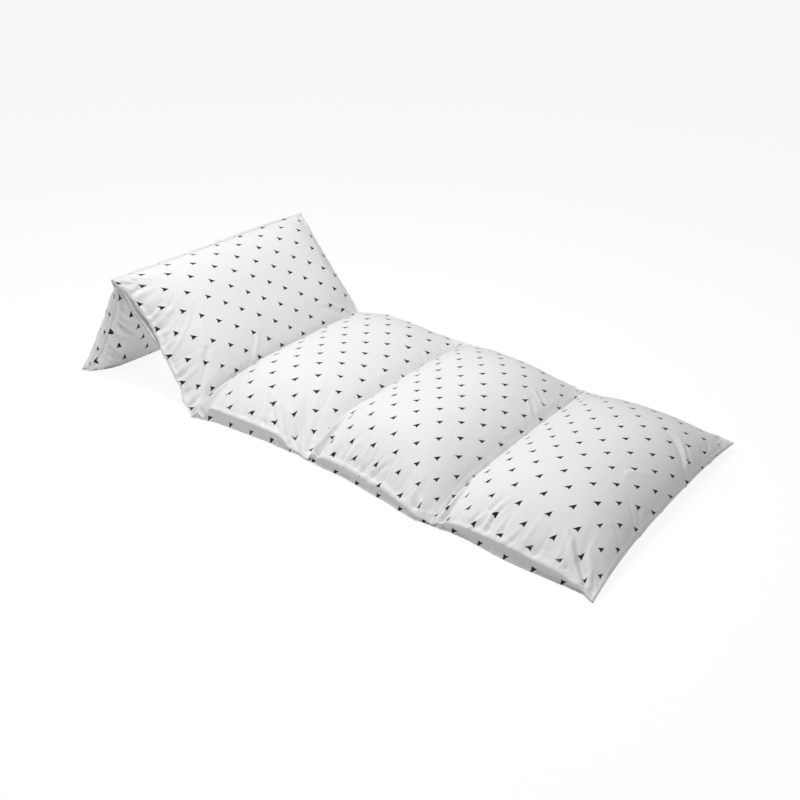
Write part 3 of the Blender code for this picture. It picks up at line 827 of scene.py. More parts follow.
@dataclass
class ShellGrid:
    """A pocket's closed shell as rows of points, each round the pocket at one share along it.

    A row runs over the face cloth from the mouth to the far edge, back under the back cloth, and up
    the recessed wall to the underside of the hem.

    Args:
        shape: the whole cover's form.
        index: which pocket, from the folded end.
        along, top, bottom: steps along the pocket, over its face cloth and under its back cloth.
        fine: whether the narrow folds and the puckers are in it.
        hem_thickness, hem_share: the hem's thickness, and the most of the mouth's height that it takes.
        full_wall, low_wall: the mouth's heights at which the recess is full and is gone.
        wall_shares: shares of the wall's height at which it has points.
        wall_start, wall_rise: how deep the recess is at the foot, and how fast it deepens.
        side_steps, end_steps: how much smaller the steps are at the two seams, and at mouth and far edge.
    """

    shape: CoverShape
    index: int
    along: int
    top: int
    bottom: int
    fine: bool
    hem_thickness: float = 0.0022
    hem_share: float = 0.2
    full_wall: float = 0.012
    low_wall: float = 0.002
    wall_shares: tuple[float, ...] = (0.10, 0.30, 0.50, 0.70, 0.90)
    wall_start: float = 0.2
    wall_rise: float = 3.0
    side_steps: tuple[float, float] = (0.3, 0.3)
    end_steps: tuple[float, float] = (0.55, 0.25)

    def __post_init__(self) -> None:
        """Works out the shares and the two cloths."""
        self.us = shares(self.along, *self.side_steps)
        self.top_ts = shares(self.top, *self.end_steps)
        self.bottom_ts = shares(self.bottom, *self.end_steps)
        self.patches = [
            self.shape.patch(self.index, self.us, ts, face, self.fine)
            for ts, face in ((self.top_ts, Face.TOP), (self.bottom_ts, Face.BOTTOM))
        ]
        upper, lower = self.patches
        least = np.array([np.interp(self.top_ts, self.bottom_ts, row) for row in lower.height])
        upper.height = np.maximum(upper.height, 2 * SEAM_HALF - least)
        self.nt = self.top + 1
        self.nb = self.bottom + 1
        self.around = self.nt + self.nb + len(self.wall_shares) + 1

    def points(self, settled: tuple[Array, Array] | None = None) -> Array:
        """The shell's points, moved by what the cloth did as it settled.

        Args:
            settled: moves of the face cloth's points and of the back cloth's.

        Returns:
            rows of points.
        """
        cloths = []
        for k, patch in enumerate(self.patches):
            points = patch.points()
            if settled is not None:
                points = patch.held_back(points + settled[k])
            cloths.append(points)
        cloths[1][..., 2] = np.maximum(cloths[1][..., 2], 0.0)
        wall = self.wall(cloths[0][:, 0], cloths[1][:, 0])
        return np.concatenate([cloths[0], cloths[1][:, ::-1], wall], axis=1)

    def wall(self, top_edge: Array, foot_edge: Array) -> Array:
        """Recessed wall from the foot up to the underside of the hem."""
        height = np.linalg.norm(top_edge - foot_edge, axis=-1)
        share = np.clip((height - self.low_wall) / (self.full_wall - self.low_wall), 0, 1)
        lip = np.minimum(self.hem_thickness, height * self.hem_share)[:, None]
        down = (foot_edge - top_edge) / np.maximum(height, TINY)[:, None]
        under = top_edge + down * lip
        s = np.array(self.wall_shares)
        points = foot_edge[:, None] * (1 - s[None, :, None]) + under[:, None] * s[None, :, None]
        recess = self.shape.pockets[self.index].recess
        points[..., 1] += recess * share[:, None] * smooth(self.wall_start + self.wall_rise * s)[None, :]
        return np.concatenate([points, under[:, None]], axis=1)

    def faces(self) -> list[tuple[int, ...]]:
        """Faces round the shell and over its two ends."""
        around = self.around
        k = np.arange(around)
        n = (k + 1) % around
        quads = [
            np.stack([r * around + k, r * around + n, (r + 1) * around + n, (r + 1) * around + k], axis=1)
            for r in range(self.along)
        ]
        sides = [tuple(quad) for quad in np.concatenate(quads).tolist()]
        return sides + self.end_faces(0, True) + self.end_faces(self.along * around, False)

    def end_faces(self, start: int, at_left: bool) -> list[tuple[int, ...]]:
        """Triangles that close the thin end of the shell at a seam."""
        heel = start + self.top + self.bottom + 1
        wall = [heel + 1 + k for k in range(len(self.wall_shares) + 1)]
        faces = [(start, start + 1, heel, *wall)]
        i = 1
        j = 0
        while i < self.top or j < self.bottom:
            if i < self.top and (j == self.bottom or self.top_ts[i + 1] <= self.bottom_ts[j + 1]):
                faces.append((start + i, start + i + 1, heel - j))
                i += 1
            else:
                faces.append((start + i, heel - j - 1, heel - j))
                j += 1
        return [tuple(reversed(face)) for face in faces] if at_left else faces

    def object(self, name: str, points: Array) -> bpy.types.Object:
        """A mesh object of these points, in the part's frame."""
        return new_piece(name, points - SHAPE_ORIGIN, self.faces())

    def sides(self, reach: float) -> Array:
        """How near each point is to a seam, mouth or far edge: 1 there, 0 from reach on, -1 if held."""
        weights = np.full((self.along + 1, self.around), -1.0)
        u = np.minimum(self.us, 1 - self.us)[:, None] * FLAT_LENGTH
        for ts, start in ((self.top_ts, 0), (self.bottom_ts[::-1], self.nt)):
            t = np.minimum(ts, 1 - ts)[None, :] * FLAT_WIDTH
            weights[:, start : start + len(ts)] = 1 - np.clip(np.minimum(u, t) / reach, 0, 1)
        weights[[0, -1]] = -1
        weights[:, [0, 1, self.nt - 1, self.nt]] = -1
        return weights


@dataclass
class PocketShell:
    """One pocket of the cover as a closed shell of cloth round its pillow.

    Args:
        shape: the whole cover's form.
        index: which pocket, from the folded end.
        back_steps: steps under the back cloth.
        cloth: how it settles.
        along_steps, face_steps: steps along the pocket and over its face cloth.
        coarse: how many of these steps make one of the shell that settles.
    """

    shape: CoverShape
    index: int
    back_steps: int
    cloth: ClothSettings = field(default_factory=ClothSettings)
    along_steps: int = 170
    face_steps: int = 260
    coarse: int = 2

    def __post_init__(self) -> None:
        """Works out the pocket's two grids."""
        self.pocket = self.shape.pockets[self.index]
        steps = (self.along_steps, self.face_steps, self.back_steps)
        self.fine = ShellGrid(self.shape, self.index, *steps, True)
        self.rough = ShellGrid(self.shape, self.index, *(count // self.coarse for count in steps), False)

    def build(self) -> bpy.types.Object:
        """Makes the pocket's object: settled as a coarse shell, then with every fold as a fine one."""
        settled = self.settle()
        self.points = self.fine.points(settled)
        piece = self.fine.object(f"pocket_{self.pocket.name}", self.points)
        set_maps(piece.data, *self.cloth_places(self.points))
        return piece

    def settle(self) -> tuple[Array, Array]:
        """Lets a coarse shell settle under the pillow's pressure.

        Returns:
            moves of the fine grid's points on the face cloth and on the back cloth.
        """
        grid = self.rough
        start = grid.points()
        piece = grid.object("settling", start)
        sides = grid.sides(self.cloth.slack_reach)
        sides[start[..., 2] < self.cloth.floor_gap] = -1
        held = piece.vertex_groups.new(name="held")
        held.add(np.flatnonzero(sides.ravel() < 0).tolist(), 1.0, "REPLACE")
        taut = piece.vertex_groups.new(name="taut")
        for i, weight in enumerate(1 - np.clip(sides.ravel(), 0, 1)):
            taut.add([i], float(weight), "REPLACE")
        modifier = piece.modifiers.new("settle", "CLOTH")
        settings = modifier.settings
        settings.quality = self.cloth.quality
        settings.vertex_group_mass = "held"
        settings.vertex_group_shrink = "taut"
        settings.shrink_min = -self.cloth.slack
        settings.shrink_max = 0.0
        settings.use_pressure = True
        settings.uniform_pressure_force = self.cloth.pressure
        settings.tension_stiffness = self.cloth.tension
        settings.compression_stiffness = self.cloth.tension
        settings.shear_stiffness = self.cloth.shear
        settings.bending_stiffness = self.cloth.bending
        settings.air_damping = self.cloth.damping
        settings.effector_weights.gravity = 0.0
        modifier.point_cache.frame_start = 1
        modifier.point_cache.frame_end = self.cloth.frames
        scene = bpy.context.scene
        for step in range(1, self.cloth.frames + 1):
            scene.frame_set(step)
        evaluated = piece.evaluated_get(bpy.context.evaluated_depsgraph_get())
        end = np.zeros(start.size)
        evaluated.data.vertices.foreach_get("co", end)
        move = end.reshape(start.shape) - (start - SHAPE_ORIGIN)
        mesh = piece.data
        bpy.data.objects.remove(piece)
        bpy.data.meshes.remove(mesh)
        scene.frame_set(1)
        size = np.linalg.norm(move, axis=-1, keepdims=True)
        move *= self.cloth.cap * np.tanh(size / self.cloth.cap) / np.maximum(size, TINIEST)
        log.info("pocket %s settled by %.1f mm on average", self.pocket.name, 1000 * float(size.mean()))
        along = reading(grid.us, self.fine.us)
        over = reading(grid.top_ts, self.fine.top_ts)
        under = reading(grid.bottom_ts, self.fine.bottom_ts)
        face = move[:, : grid.nt]
        back = move[:, grid.nt : grid.nt + grid.nb][:, ::-1]
        return tuple(
            np.einsum("ij,jkc,lk->ilc", along, cloth, across, optimize=True)
            for cloth, across in ((face, over), (back, under))
        )

    def cloth_places(self, points: Array) -> tuple[Array, Array]:
        """Each point's place on the flat cloth in metres, and in the print in repeats."""
        nt, nb = self.fine.nt, self.fine.nb
        place = np.zeros(points.shape[:2] + (2,))
        x = self.stretched(points[:, nt // 2]) * FLAT_LENGTH
        y = self.stretched(points[self.along_steps // 2, :nt]) * FLAT_WIDTH
        place[:, :nt, 0] = x[:, None]
        place[:, :nt, 1] = y[None, :]
        place[:, nt : nt + nb, 0] = x[:, None]
        place[:, nt : nt + nb, 1] = (self.fine.bottom_ts[::-1][None, :] - 0.5) * FLAT_WIDTH
        edge = points[:, nt + nb - 1]
        for k in range(nt + nb, points.shape[1]):
            place[:, k, 0] = x
            place[:, k, 1] = -FLAT_WIDTH / 2 - np.linalg.norm(points[:, k] - edge, axis=1)
        printed = self.print_places(place, self.pocket.marks)
        back = self.print_places(place * MIRRORED, self.pocket.back_marks)
        printed[:, nt:] = back[:, nt:]
        return place, printed

    @staticmethod
    def stretched(line: Array) -> Array:
        """Shares of the length along a line of points, from -0.5 to 0.5."""
        run = np.concatenate([[0], np.cumsum(np.linalg.norm(np.diff(line, axis=0), axis=1))])
        return run / run[-1] - 0.5

    @staticmethod
    def print_places(place: Array, marks: Print) -> Array:
        """Places in the print, in repeats: a mark is at each whole number and each half."""
        moved = place - np.array([marks.shift_x, marks.shift_y])
        steps = np.array([[marks.along, marks.across_skew], [marks.along_skew, marks.across]])
        return moved @ np.linalg.inv(steps).T

    def dress(self, piece: bpy.types.Object, material: bpy.types.Material) -> None:
        piece.data.materials.append(material)
        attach(piece, "root")
        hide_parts("cover")


@dataclass
class TuckFlap:
    """The strip of the back cloth's flap that shows in a pocket's mouth.

    Args:
        shell: the pocket that it closes.
        node: the CAD node that it stands for.
        thickness: of the cloth.
        clearance: from the pocket's recessed wall.
        rows: steps up the flap.
        high_share: how far up the mouth it reaches.
        sunk_share: how much of the wall's recess it follows.
        sunk_start: how deep it is sunk at the foot.
        most_out: how far it may stand out of the mouth.
        crease_depth, crease_width: of its upright creases.
        crease_low: how far down the flap a crease fades, as a share.
        crease_steady, crease_turn: the creases' least size, and how it goes round from one to the next.
        ripple, ripple_turns: height of its small waves, and their two rates along the pocket.
        valley, valley_place: depth and place of the dip beside each crease, to the crease's own.
    """

    shell: PocketShell
    node: str
    thickness: float = 0.0012
    clearance: float = 0.0012
    rows: int = 12
    high_share: float = 0.97
    sunk_share: float = 0.85
    sunk_start: float = 0.15
    most_out: float = 0.003
    crease_depth: float = 0.0030
    crease_width: float = 0.0050
    crease_low: float = 0.15
    crease_steady: float = 0.6
    crease_turn: float = 2.4
    ripple: float = 0.0008
    ripple_turns: tuple[int, int] = (61, 23)
    valley: float = 0.7
    valley_place: float = 1.9

    def build(self) -> bpy.types.Object:
        """Makes the flap between the pocket's foot and the underside of its hem."""
        grid = self.shell.fine
        points = self.shell.points - SHAPE_ORIGIN
        low, high = self.shell.pocket.flap
        stations = np.flatnonzero((grid.us >= low) & (grid.us <= high))
        foot = points[stations, grid.nt + grid.nb - 1]
        hem = points[stations, -1]
        height = np.linalg.norm(hem - foot, axis=-1)
        share = np.clip((height - grid.low_wall) / (grid.full_wall - grid.low_wall), 0, 1)
        s = np.linspace(0.0, self.high_share, self.rows + 1)
        outer = foot[:, None] * (1 - s[None, :, None]) + hem[:, None] * s[None, :, None]
        sunk = smooth(self.sunk_start + grid.wall_rise * s)
        depth = self.shell.pocket.recess * self.sunk_share * share[:, None] * sunk[None, :]
        u = grid.us[stations]
        fade = np.sin(np.pi * (self.crease_low + (1 - self.crease_low) * s))
        creased = self.creases(u)[:, None] * fade[None, :] * share[:, None]
        depth = depth - self.clearance - self.thickness - creased
        outer[..., 1] += np.maximum(depth, -self.most_out)
        inner = outer + np.array([0.0, self.thickness, 0.0])
        return self.mesh(outer, inner, u, s, height)

    def creases(self, u: Array) -> Array:
        """How far the flap's upright creases stand out at shares along the pocket."""
        fast, slow = self.ripple_turns
        index = self.shell.index
        total = self.ripple * (1 + np.sin(u * fast + index) * np.sin(u * slow + 2 * index))
        for k, place in enumerate(self.shell.pocket.flap_creases):
            d = (u - place) * FLAT_LENGTH / self.crease_width
            varied = self.crease_steady + (1 - self.crease_steady) * math.cos(self.crease_turn * k)
            dip = self.valley * np.exp(-((d - self.valley_place) ** 2))
            total = total + self.crease_depth * varied * (np.exp(-(d**2)) - dip)
        return total

    def mesh(self, outer: Array, inner: Array, u: Array, s: Array, height: Array) -> bpy.types.Object:
        """A closed thin sheet from its outer and inner grids."""
        nu, ns = outer.shape[:2]
        count = nu * ns
        index = np.arange(count).reshape(nu, ns)
        a, b, c, d = index[:-1, :-1], index[1:, :-1], index[1:, 1:], index[:-1, 1:]
        faces = np.stack([a, b, c, d], axis=-1).reshape(-1, 4).tolist()
        faces += (np.stack([a, d, c, b], axis=-1) + count).reshape(-1, 4).tolist()
        rim = [index[:, 0], index[-1, :], index[::-1, -1], index[0, ::-1]]
        rim = np.concatenate([side[:-1] for side in rim])
        following = np.roll(rim, -1)
        faces += np.stack([following, rim, rim + count, following + count], axis=-1).tolist()
        made = new_piece(self.node + "_cloth", np.stack([outer, inner]), faces)
        place = np.zeros((2, nu, ns, 2))
        place[..., 0] = ((u - 0.5) * FLAT_LENGTH)[:, None]
        place[..., 1] = -FLAT_WIDTH / 2 - s[None, :] * height[:, None]
        printed = PocketShell.print_places(place * MIRRORED, self.shell.pocket.back_marks)
        set_maps(made.data, place, printed)
        steps = (np.linalg.norm(np.diff(outer, axis=axis), axis=-1).sum(axis=axis) for axis in (0, 1))
        self.flat = tuple(round(float(lengths.mean()), 4) for lengths in steps)
        return made

    def dress(
        self, piece: bpy.types.Object, material: bpy.types.Material, pocket: bpy.types.Object
    ) -> None:
        piece.data.materials.append(material)
        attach(piece, "root")
        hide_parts(self.node)


@dataclass(frozen=True)
class ThreadRow:
    """A row of stitches along a line of points.

    Args:
        pitch: from one stitch to the next.
        length, width, height: size of one stitch.
        sides: of its cross section.
        rings: rows of place along the stitch, in lengths, and swell there.
    """

    pitch: float = 0.0034
    length: float = 0.0026
    width: float = 0.0009
    height: float = 0.0006
    sides: int = 6
    rings: tuple[tuple[float, float], ...] = ((-0.5, 0.35), (-0.25, 0.95), (0.25, 0.95), (0.5, 0.35))

    def solids(self, line: Array, normals: Array) -> tuple[Array, list[tuple[int, ...]]]:
        """Points and faces of the stitches along a line, lying on a surface with these normals."""
        step = np.linalg.norm(np.diff(line, axis=0), axis=1)
        run = np.concatenate([[0], np.cumsum(step)])
        count = int(run[-1] / self.pitch)
        places = (np.arange(count) + 0.5) * self.pitch
        middle, ahead, normal = (
            np.stack([np.interp(at, run, values[:, i]) for i in range(3)], axis=1)
            for at, values in ((places, line), (places + self.pitch / 4, line), (places, normals))
        )
        along = ahead - middle
        along /= np.linalg.norm(along, axis=1, keepdims=True)
        normal -= (normal * along).sum(axis=1, keepdims=True) * along
        normal /= np.linalg.norm(normal, axis=1, keepdims=True)
        side = np.cross(along, normal)
        turns = np.arange(self.sides) * 2 * math.pi / self.sides
        points = []
        for shift, swell in self.rings:
            for turn in turns:
                offset = (
                    along * shift * self.length
                    + side * math.cos(turn) * self.width / 2 * swell
                    + normal * math.sin(turn) * self.height / 2 * swell
                )
                points.append(middle + offset)
        points = np.stack(points, axis=1).reshape(-1, 3)
        faces = []
        per = len(self.rings) * self.sides
        for first in range(0, count * per, per):
            last = first + per - self.sides
            for a in range(first, last, self.sides):
                for k in range(self.sides):
                    n = (k + 1) % self.sides
                    faces.append((a + k, a + n, a + self.sides + n, a + self.sides + k))
            faces.append(tuple(first + k for k in reversed(range(self.sides))))
            faces.append(tuple(last + k for k in range(self.sides)))
        return points, faces


@dataclass
class Stitching:
    """All the stitches of one pocket: along its hem and beside its two sewn seams.

    Args:
        shell: the pocket.
        thread: its stitches.
        lift: how far their middle is over the cloth.
        hem_ends, seam_ends: how many of the grid's points each row stays off its ends.
    """

    shell: PocketShell
    thread: ThreadRow = field(default_factory=ThreadRow)
    lift: float = 0.0003
    hem_ends: int = 3
    seam_ends: int = 2

    def build(self, material: bpy.types.Material) -> None:
        """Args:
            material: the thread's finish.
        """
        shell = self.shell
        hem_row = int(np.searchsorted(shell.fine.top_ts * FLAT_WIDTH, shell.shape.hem_depth))
        top = shell.points[:, : shell.fine.nt] - SHAPE_ORIGIN
        normals = np.cross(np.gradient(top, axis=0), np.gradient(top, axis=1))
        normals /= np.maximum(np.linalg.norm(normals, axis=-1, keepdims=True), TINIEST)
        hem = slice(self.hem_ends, -self.hem_ends)
        seam = slice(self.seam_ends, -self.seam_ends)
        all_points = []
        all_faces = []
        count = 0
        for row in ((hem, hem_row), (1, seam), (-2, seam)):
            made, faces = self.thread.solids(top[row] + normals[row] * self.lift, normals[row])
            all_faces += [tuple(i + count for i in face) for face in faces]
            all_points.append(made)
            count += len(made)
        piece = new_piece(f"stitches_{shell.pocket.name}", np.concatenate(all_points), all_faces, material)
        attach(piece, "root")


class Nodes:
    """Short calls for building a node tree."""

    def __init__(self, tree: bpy.types.NodeTree) -> None:
        """Keeps the tree.

        Args:
            tree: the node tree to build in.
        """
        self.tree = tree

    def add(
        self, kind: str, inputs: dict[str | int, object] | None = None, **values: object
    ) -> bpy.types.Node:
        """A new node of a kind.

        Args:
            kind: the node's type.
            inputs: a socket or a value for each of its inputs that is fed.
            values: its properties.
        """
        node = self.tree.nodes.new(kind)
        for name, value in values.items():
            setattr(node, name, value)
        self.feed(node, inputs or {})
        return node

    def feed(self, node: bpy.types.Node, inputs: dict[str | int, object]) -> None:
        """Joins a node's inputs to sockets, or sets their own values."""
        for name, value in inputs.items():
            if isinstance(value, bpy.types.NodeSocket):
                self.tree.links.new(value, node.inputs[name])
            else:
                node.inputs[name].default_value = value

    def math(
        self, operation: str, a: object, b: object = None, clamp: bool = False
    ) -> bpy.types.NodeSocket:
        """Result of a Math node on sockets or numbers."""
        inputs = {0: a} if b is None else {0: a, 1: b}
        return self.add("ShaderNodeMath", inputs, operation=operation, use_clamp=clamp).outputs[0]

    def blend(self, share: object, low: float, high: float) -> bpy.types.NodeSocket:
        """Value that goes from low to high with a share."""
        return self.math("ADD", self.math("MULTIPLY", share, high - low), low)


def new_group(name: str, place: str, results: tuple[str, ...]) -> tuple[Nodes, object, object]:
    """A shader node group that turns a place into numbers.

    Args:
        name: of the group.
        place: name of its input.
        results: names of its outputs.

    Returns:
        its builder, its input's socket and its output node.
    """
    tree = bpy.data.node_groups.new(name, "ShaderNodeTree")
    tree.interface.new_socket(name=place, in_out="INPUT", socket_type="NodeSocketVector")
    for result in results:
        tree.interface.new_socket(name=result, in_out="OUTPUT", socket_type="NodeSocketFloat")
    nodes = Nodes(tree)
    return nodes, nodes.add("NodeGroupInput").outputs[place], nodes.add("NodeGroupOutput")


def new_material(name: str, inputs: dict[str, object]) -> tuple[bpy.types.Material, Nodes, bpy.types.Node]:
    """A material, its builder and its shader, with these inputs of the shader set."""
    made = bpy.data.materials.new(name)
    made.use_nodes = True
    nodes = Nodes(made.node_tree)
    shader = made.node_tree.nodes["Principled BSDF"]
    nodes.feed(shader, inputs)
    return made, nodes, shader


@dataclass(frozen=True)
class ArrowMark:
    """The printed mark: a small three-cornered dart with a nick in its lower side, in metres.

    Args:
        tip, wing, heel, nick: its corners, clockwise.
        edge: half width of its soft edge.
        cell_along, cell_across: the repeat's own size, along and across the cover.
    """

    tip: tuple[float, float] = (-0.0096, -0.0055)
    wing: tuple[float, float] = (0.0050, 0.0112)
    heel: tuple[float, float] = (0.0050, -0.0076)
    nick: tuple[float, float] = (-0.0004, -0.0046)
    edge: float = 0.0003
    cell_along: float = 0.075
    cell_across: float = 0.095

    def group(self) -> bpy.types.NodeTree:
        """Node group that turns places in the print into a mask of marks."""
        nodes, place, target = new_group("Scattered marks", "Print place", ("Mask",))
        split = nodes.add("ShaderNodeSeparateXYZ", {0: place})
        masks = []
        for half in (0.0, 0.5):
            places = []
            for axis, cell in ((0, self.cell_along), (1, self.cell_across)):
                moved = nodes.math("ADD", split.outputs[axis], 0.5 + half)
                whole = nodes.math("SUBTRACT", nodes.math("FRACT", moved), 0.5)
                places.append(nodes.math("MULTIPLY", whole, cell))
            masks.append(self.dart(nodes, *places))
        nodes.feed(target, {"Mask": nodes.math("MAXIMUM", *masks)})
        return nodes.tree

    def side(self, nodes: Nodes, x: object, y: object, a: tuple, b: tuple) -> bpy.types.NodeSocket:
        """Distance to the left of the line from a to b."""
        dx, dy = b[0] - a[0], b[1] - a[1]
        size = math.hypot(dx, dy)
        nx, ny = -dy / size, dx / size
        value = nodes.math("ADD", nodes.math("MULTIPLY", x, nx), nodes.math("MULTIPLY", y, ny))
        return nodes.math("SUBTRACT", value, a[0] * nx + a[1] * ny)

    def dart(self, nodes: Nodes, x: object, y: object) -> bpy.types.NodeSocket:
        """Mask of one dart at the origin: its corners run clockwise, so its inside is on the right."""
        corners = (self.tip, self.wing, self.heel, self.nick)
        over, behind, first, second = (
            nodes.math("MULTIPLY", self.side(nodes, x, y, a, b), -1.0)
            for a, b in zip(corners, corners[1:] + corners[:1])
        )
        nicked = nodes.math("MAXIMUM", first, second)
        inside = nodes.math("MINIMUM", nodes.math("MINIMUM", over, behind), nicked)
        return nodes.math("ADD", nodes.math("DIVIDE", inside, 2 * self.edge), 0.5, clamp=True)


@dataclass(frozen=True)
class PlainWeave:
    """The cotton's plain weave: threads over and under each other at a fine pitch, in metres.

    Args:
        pitch: from one thread to the next but one.
        slub_size: how many thicker places there are in a metre across the threads.
        slub_stretch: how many along them, as a share of that.
        slub, thread: heights of the thicker places and of the threads.
        slub_tint, weave_shade: how much lighter the thicker places make the cloth as the yarn's own tone,
            and the painted highlight and shade of the raised and sunk crossings.
        detail: of the thicker places.
    """

    pitch: float = 0.0008
    slub_size: float = 160.0
    slub_stretch: float = 0.12
    slub: float = 0.8
    thread: float = 0.5
    slub_tint: float = 0.05
    weave_shade: float = 0.012
    detail: float = 2.0

    def group(self) -> bpy.types.NodeTree:
        """Node group that turns places on the cloth into a height, and a tone that holds the yarn's own
        slubs and the weave's painted highlight and shade.
        """
        nodes, place, target = new_group("Plain weave", "Cloth place", ("Height", "Tint"))
        split = nodes.add("ShaderNodeSeparateXYZ", {0: place})
        waves = []
        for axis in (0, 1):
            turn = nodes.math("MULTIPLY", split.outputs[axis], 2 * math.pi / self.pitch)
            waves.append(nodes.math("SINE", turn))
        crossing = nodes.math("MULTIPLY", *waves)
        stretch = nodes.add("ShaderNodeMapping", {"Scale": (1.0, self.slub_stretch, 1.0), "Vector": place})
        noise = nodes.add(
            "ShaderNodeTexNoise",
            {"Scale": self.slub_size, "Detail": self.detail, "Vector": stretch.outputs[0]},
        )
        slub = nodes.math("MULTIPLY", nodes.math("SUBTRACT", noise.outputs[0], 0.5), self.slub)
        height = nodes.math("ADD", nodes.math("MULTIPLY", crossing, self.thread), slub)
        # Painted highlight and shade: the raised crossings are lighter and the sunk ones darker.
        raised_highlight = nodes.math("MULTIPLY", crossing, self.weave_shade)
        tone_and_shade = nodes.math("ADD", nodes.math("MULTIPLY", slub, self.slub_tint), raised_highlight)
        nodes.feed(target, {"Height": height, "Tint": nodes.math("ADD", tone_and_shade, 1.0)})
        return nodes.tree


@dataclass(frozen=True)
class Crumple:
    """The soft unevenness of washed cotton over its filling: broad dents and finer wrinkles.

    Args:
        dents, wrinkles: how many there are in a metre.
        wrinkle_share: height of the wrinkles beside that of the dents.
        stretch: how many there are across the cover, as a share of those along it.
        details: of the dents and of the wrinkles.
        distortion: how far both wander.
    """

    dents: float = 26.0
    wrinkles: float = 95.0
    wrinkle_share: float = 0.22
    stretch: float = 0.55
    details: tuple[float, float] = (2.0, 3.0)
    distortion: float = 0.6

    def group(self) -> bpy.types.NodeTree:
        """Node group that turns places on the cloth into a height."""
        nodes, place, target = new_group("Crumple", "Cloth place", ("Height",))
        stretch = nodes.add("ShaderNodeMapping", {"Scale": (1.0, self.stretch, 1.0), "Vector": place})
        heights = []
        for scale, detail in zip((self.dents, self.wrinkles), self.details):
            settings = {"Scale": scale, "Detail": detail, "Distortion": self.distortion}
            noise = nodes.add("ShaderNodeTexNoise", {**settings, "Vector": stretch.outputs[0]})
            heights.append(nodes.math("SUBTRACT", noise.outputs[0], 0.5))
        fine = nodes.math("MULTIPLY", heights[1], self.wrinkle_share)
        nodes.feed(target, {"Height": nodes.math("ADD", heights[0], fine)})
        return nodes.tree


@dataclass(frozen=True)
class CottonFinish:
    """Printed white cotton.

    Args:
        name: of the material.
        cloth, ink: the two colours.
        roughness, sheen, sheen_roughness, specular: of its surface.
        weave_depth, weave_strength: of the weave's bump.
        crumple_depth: of the crumple's bump.
    """

    name: str
    cloth: tuple[float, float, float] = (0.86, 0.86, 0.86)
    ink: tuple[float, float, float] = (0.018, 0.018, 0.019)
    roughness: float = 0.88
    sheen: float = 0.15
    sheen_roughness: float = 0.5
    specular: float = 0.25
    weave_depth: float = 0.00012
    weave_strength: float = 0.35
    crumple_depth: float = 0.0013

    def material(self, groups: dict[str, bpy.types.NodeTree]) -> bpy.types.Material:
        """Builds the material from the shared groups."""
        surface = {
            "Roughness": self.roughness,
            "Sheen Weight": self.sheen,
            "Sheen Roughness": self.sheen_roughness,
            "Specular IOR Level": self.specular,
        }
        made, nodes, shader = new_material(self.name, surface)
        cloth_place, print_place = (
            nodes.add("ShaderNodeUVMap", uv_map=name).outputs[0] for name in ("cloth", "print")
        )
        woven, crumpled, marked = (
            nodes.add("ShaderNodeGroup", node_tree=groups[name]) for name in ("weave", "crumple", "marks")
        )
        nodes.feed(woven, {"Cloth place": cloth_place})
        nodes.feed(crumpled, {"Cloth place": cloth_place})
        nodes.feed(marked, {"Print place": print_place})
        # The tone holds the weave's painted highlight and shade as well as the yarn's own slubs.
        tone_and_shade = {0: self.cloth, "Scale": woven.outputs["Tint"]}
        toned_and_shaded = nodes.add("ShaderNodeVectorMath", tone_and_shade, operation="SCALE")
        colours = {0: marked.outputs["Mask"], 6: toned_and_shaded.outputs[0], 7: (*self.ink, 1.0)}
        mix = nodes.add("ShaderNodeMix", colours, data_type="RGBA")
        broad = nodes.add(
            "ShaderNodeBump",
            {"Strength": 1.0, "Distance": self.crumple_depth, "Height": crumpled.outputs["Height"]},
        )
        bump = nodes.add(
            "ShaderNodeBump",
            {
                "Strength": self.weave_strength,
                "Distance": self.weave_depth,
                "Height": woven.outputs["Height"],
                "Normal": broad.outputs[0],
            },
        )
        nodes.feed(shader, {"Base Color": mix.outputs[2], "Normal": bump.outputs[0]})
        return made


@dataclass(frozen=True)
class ThreadFinish:
    """White sewing thread with a fine twist, darker in a fine noise for the painted shade between its
    turns.

    Args:
        colour, roughness: of its surface.
        twist: how many turns there are in a metre.
        shade: how dark the painted shade between two turns is, as a share.
    """

    colour: tuple[float, float, float] = (0.84, 0.84, 0.84)
    roughness: float = 0.6
    twist: float = 900.0
    shade: float = 0.92

    def material(self) -> bpy.types.Material:
        """Builds the material."""
        made, nodes, shader = new_material("sewing_thread", {"Roughness": self.roughness})
        place = nodes.add("ShaderNodeTexCoord").outputs["Object"]
        noise = nodes.add("ShaderNodeTexNoise", {"Scale": self.twist, "Vector": place})
        # Painted shade: the darker colour in the noise stands for shade between the thread's turns.
        turn_shade_colour = tuple(c * self.shade for c in self.colour)
        colours = {0: noise.outputs[0], 6: (*turn_shade_colour, 1.0), 7: (*self.colour, 1.0)}
        mix = nodes.add("ShaderNodeMix", colours, data_type="RGBA")
        nodes.feed(shader, {"Base Color": mix.outputs[2]})
        return made


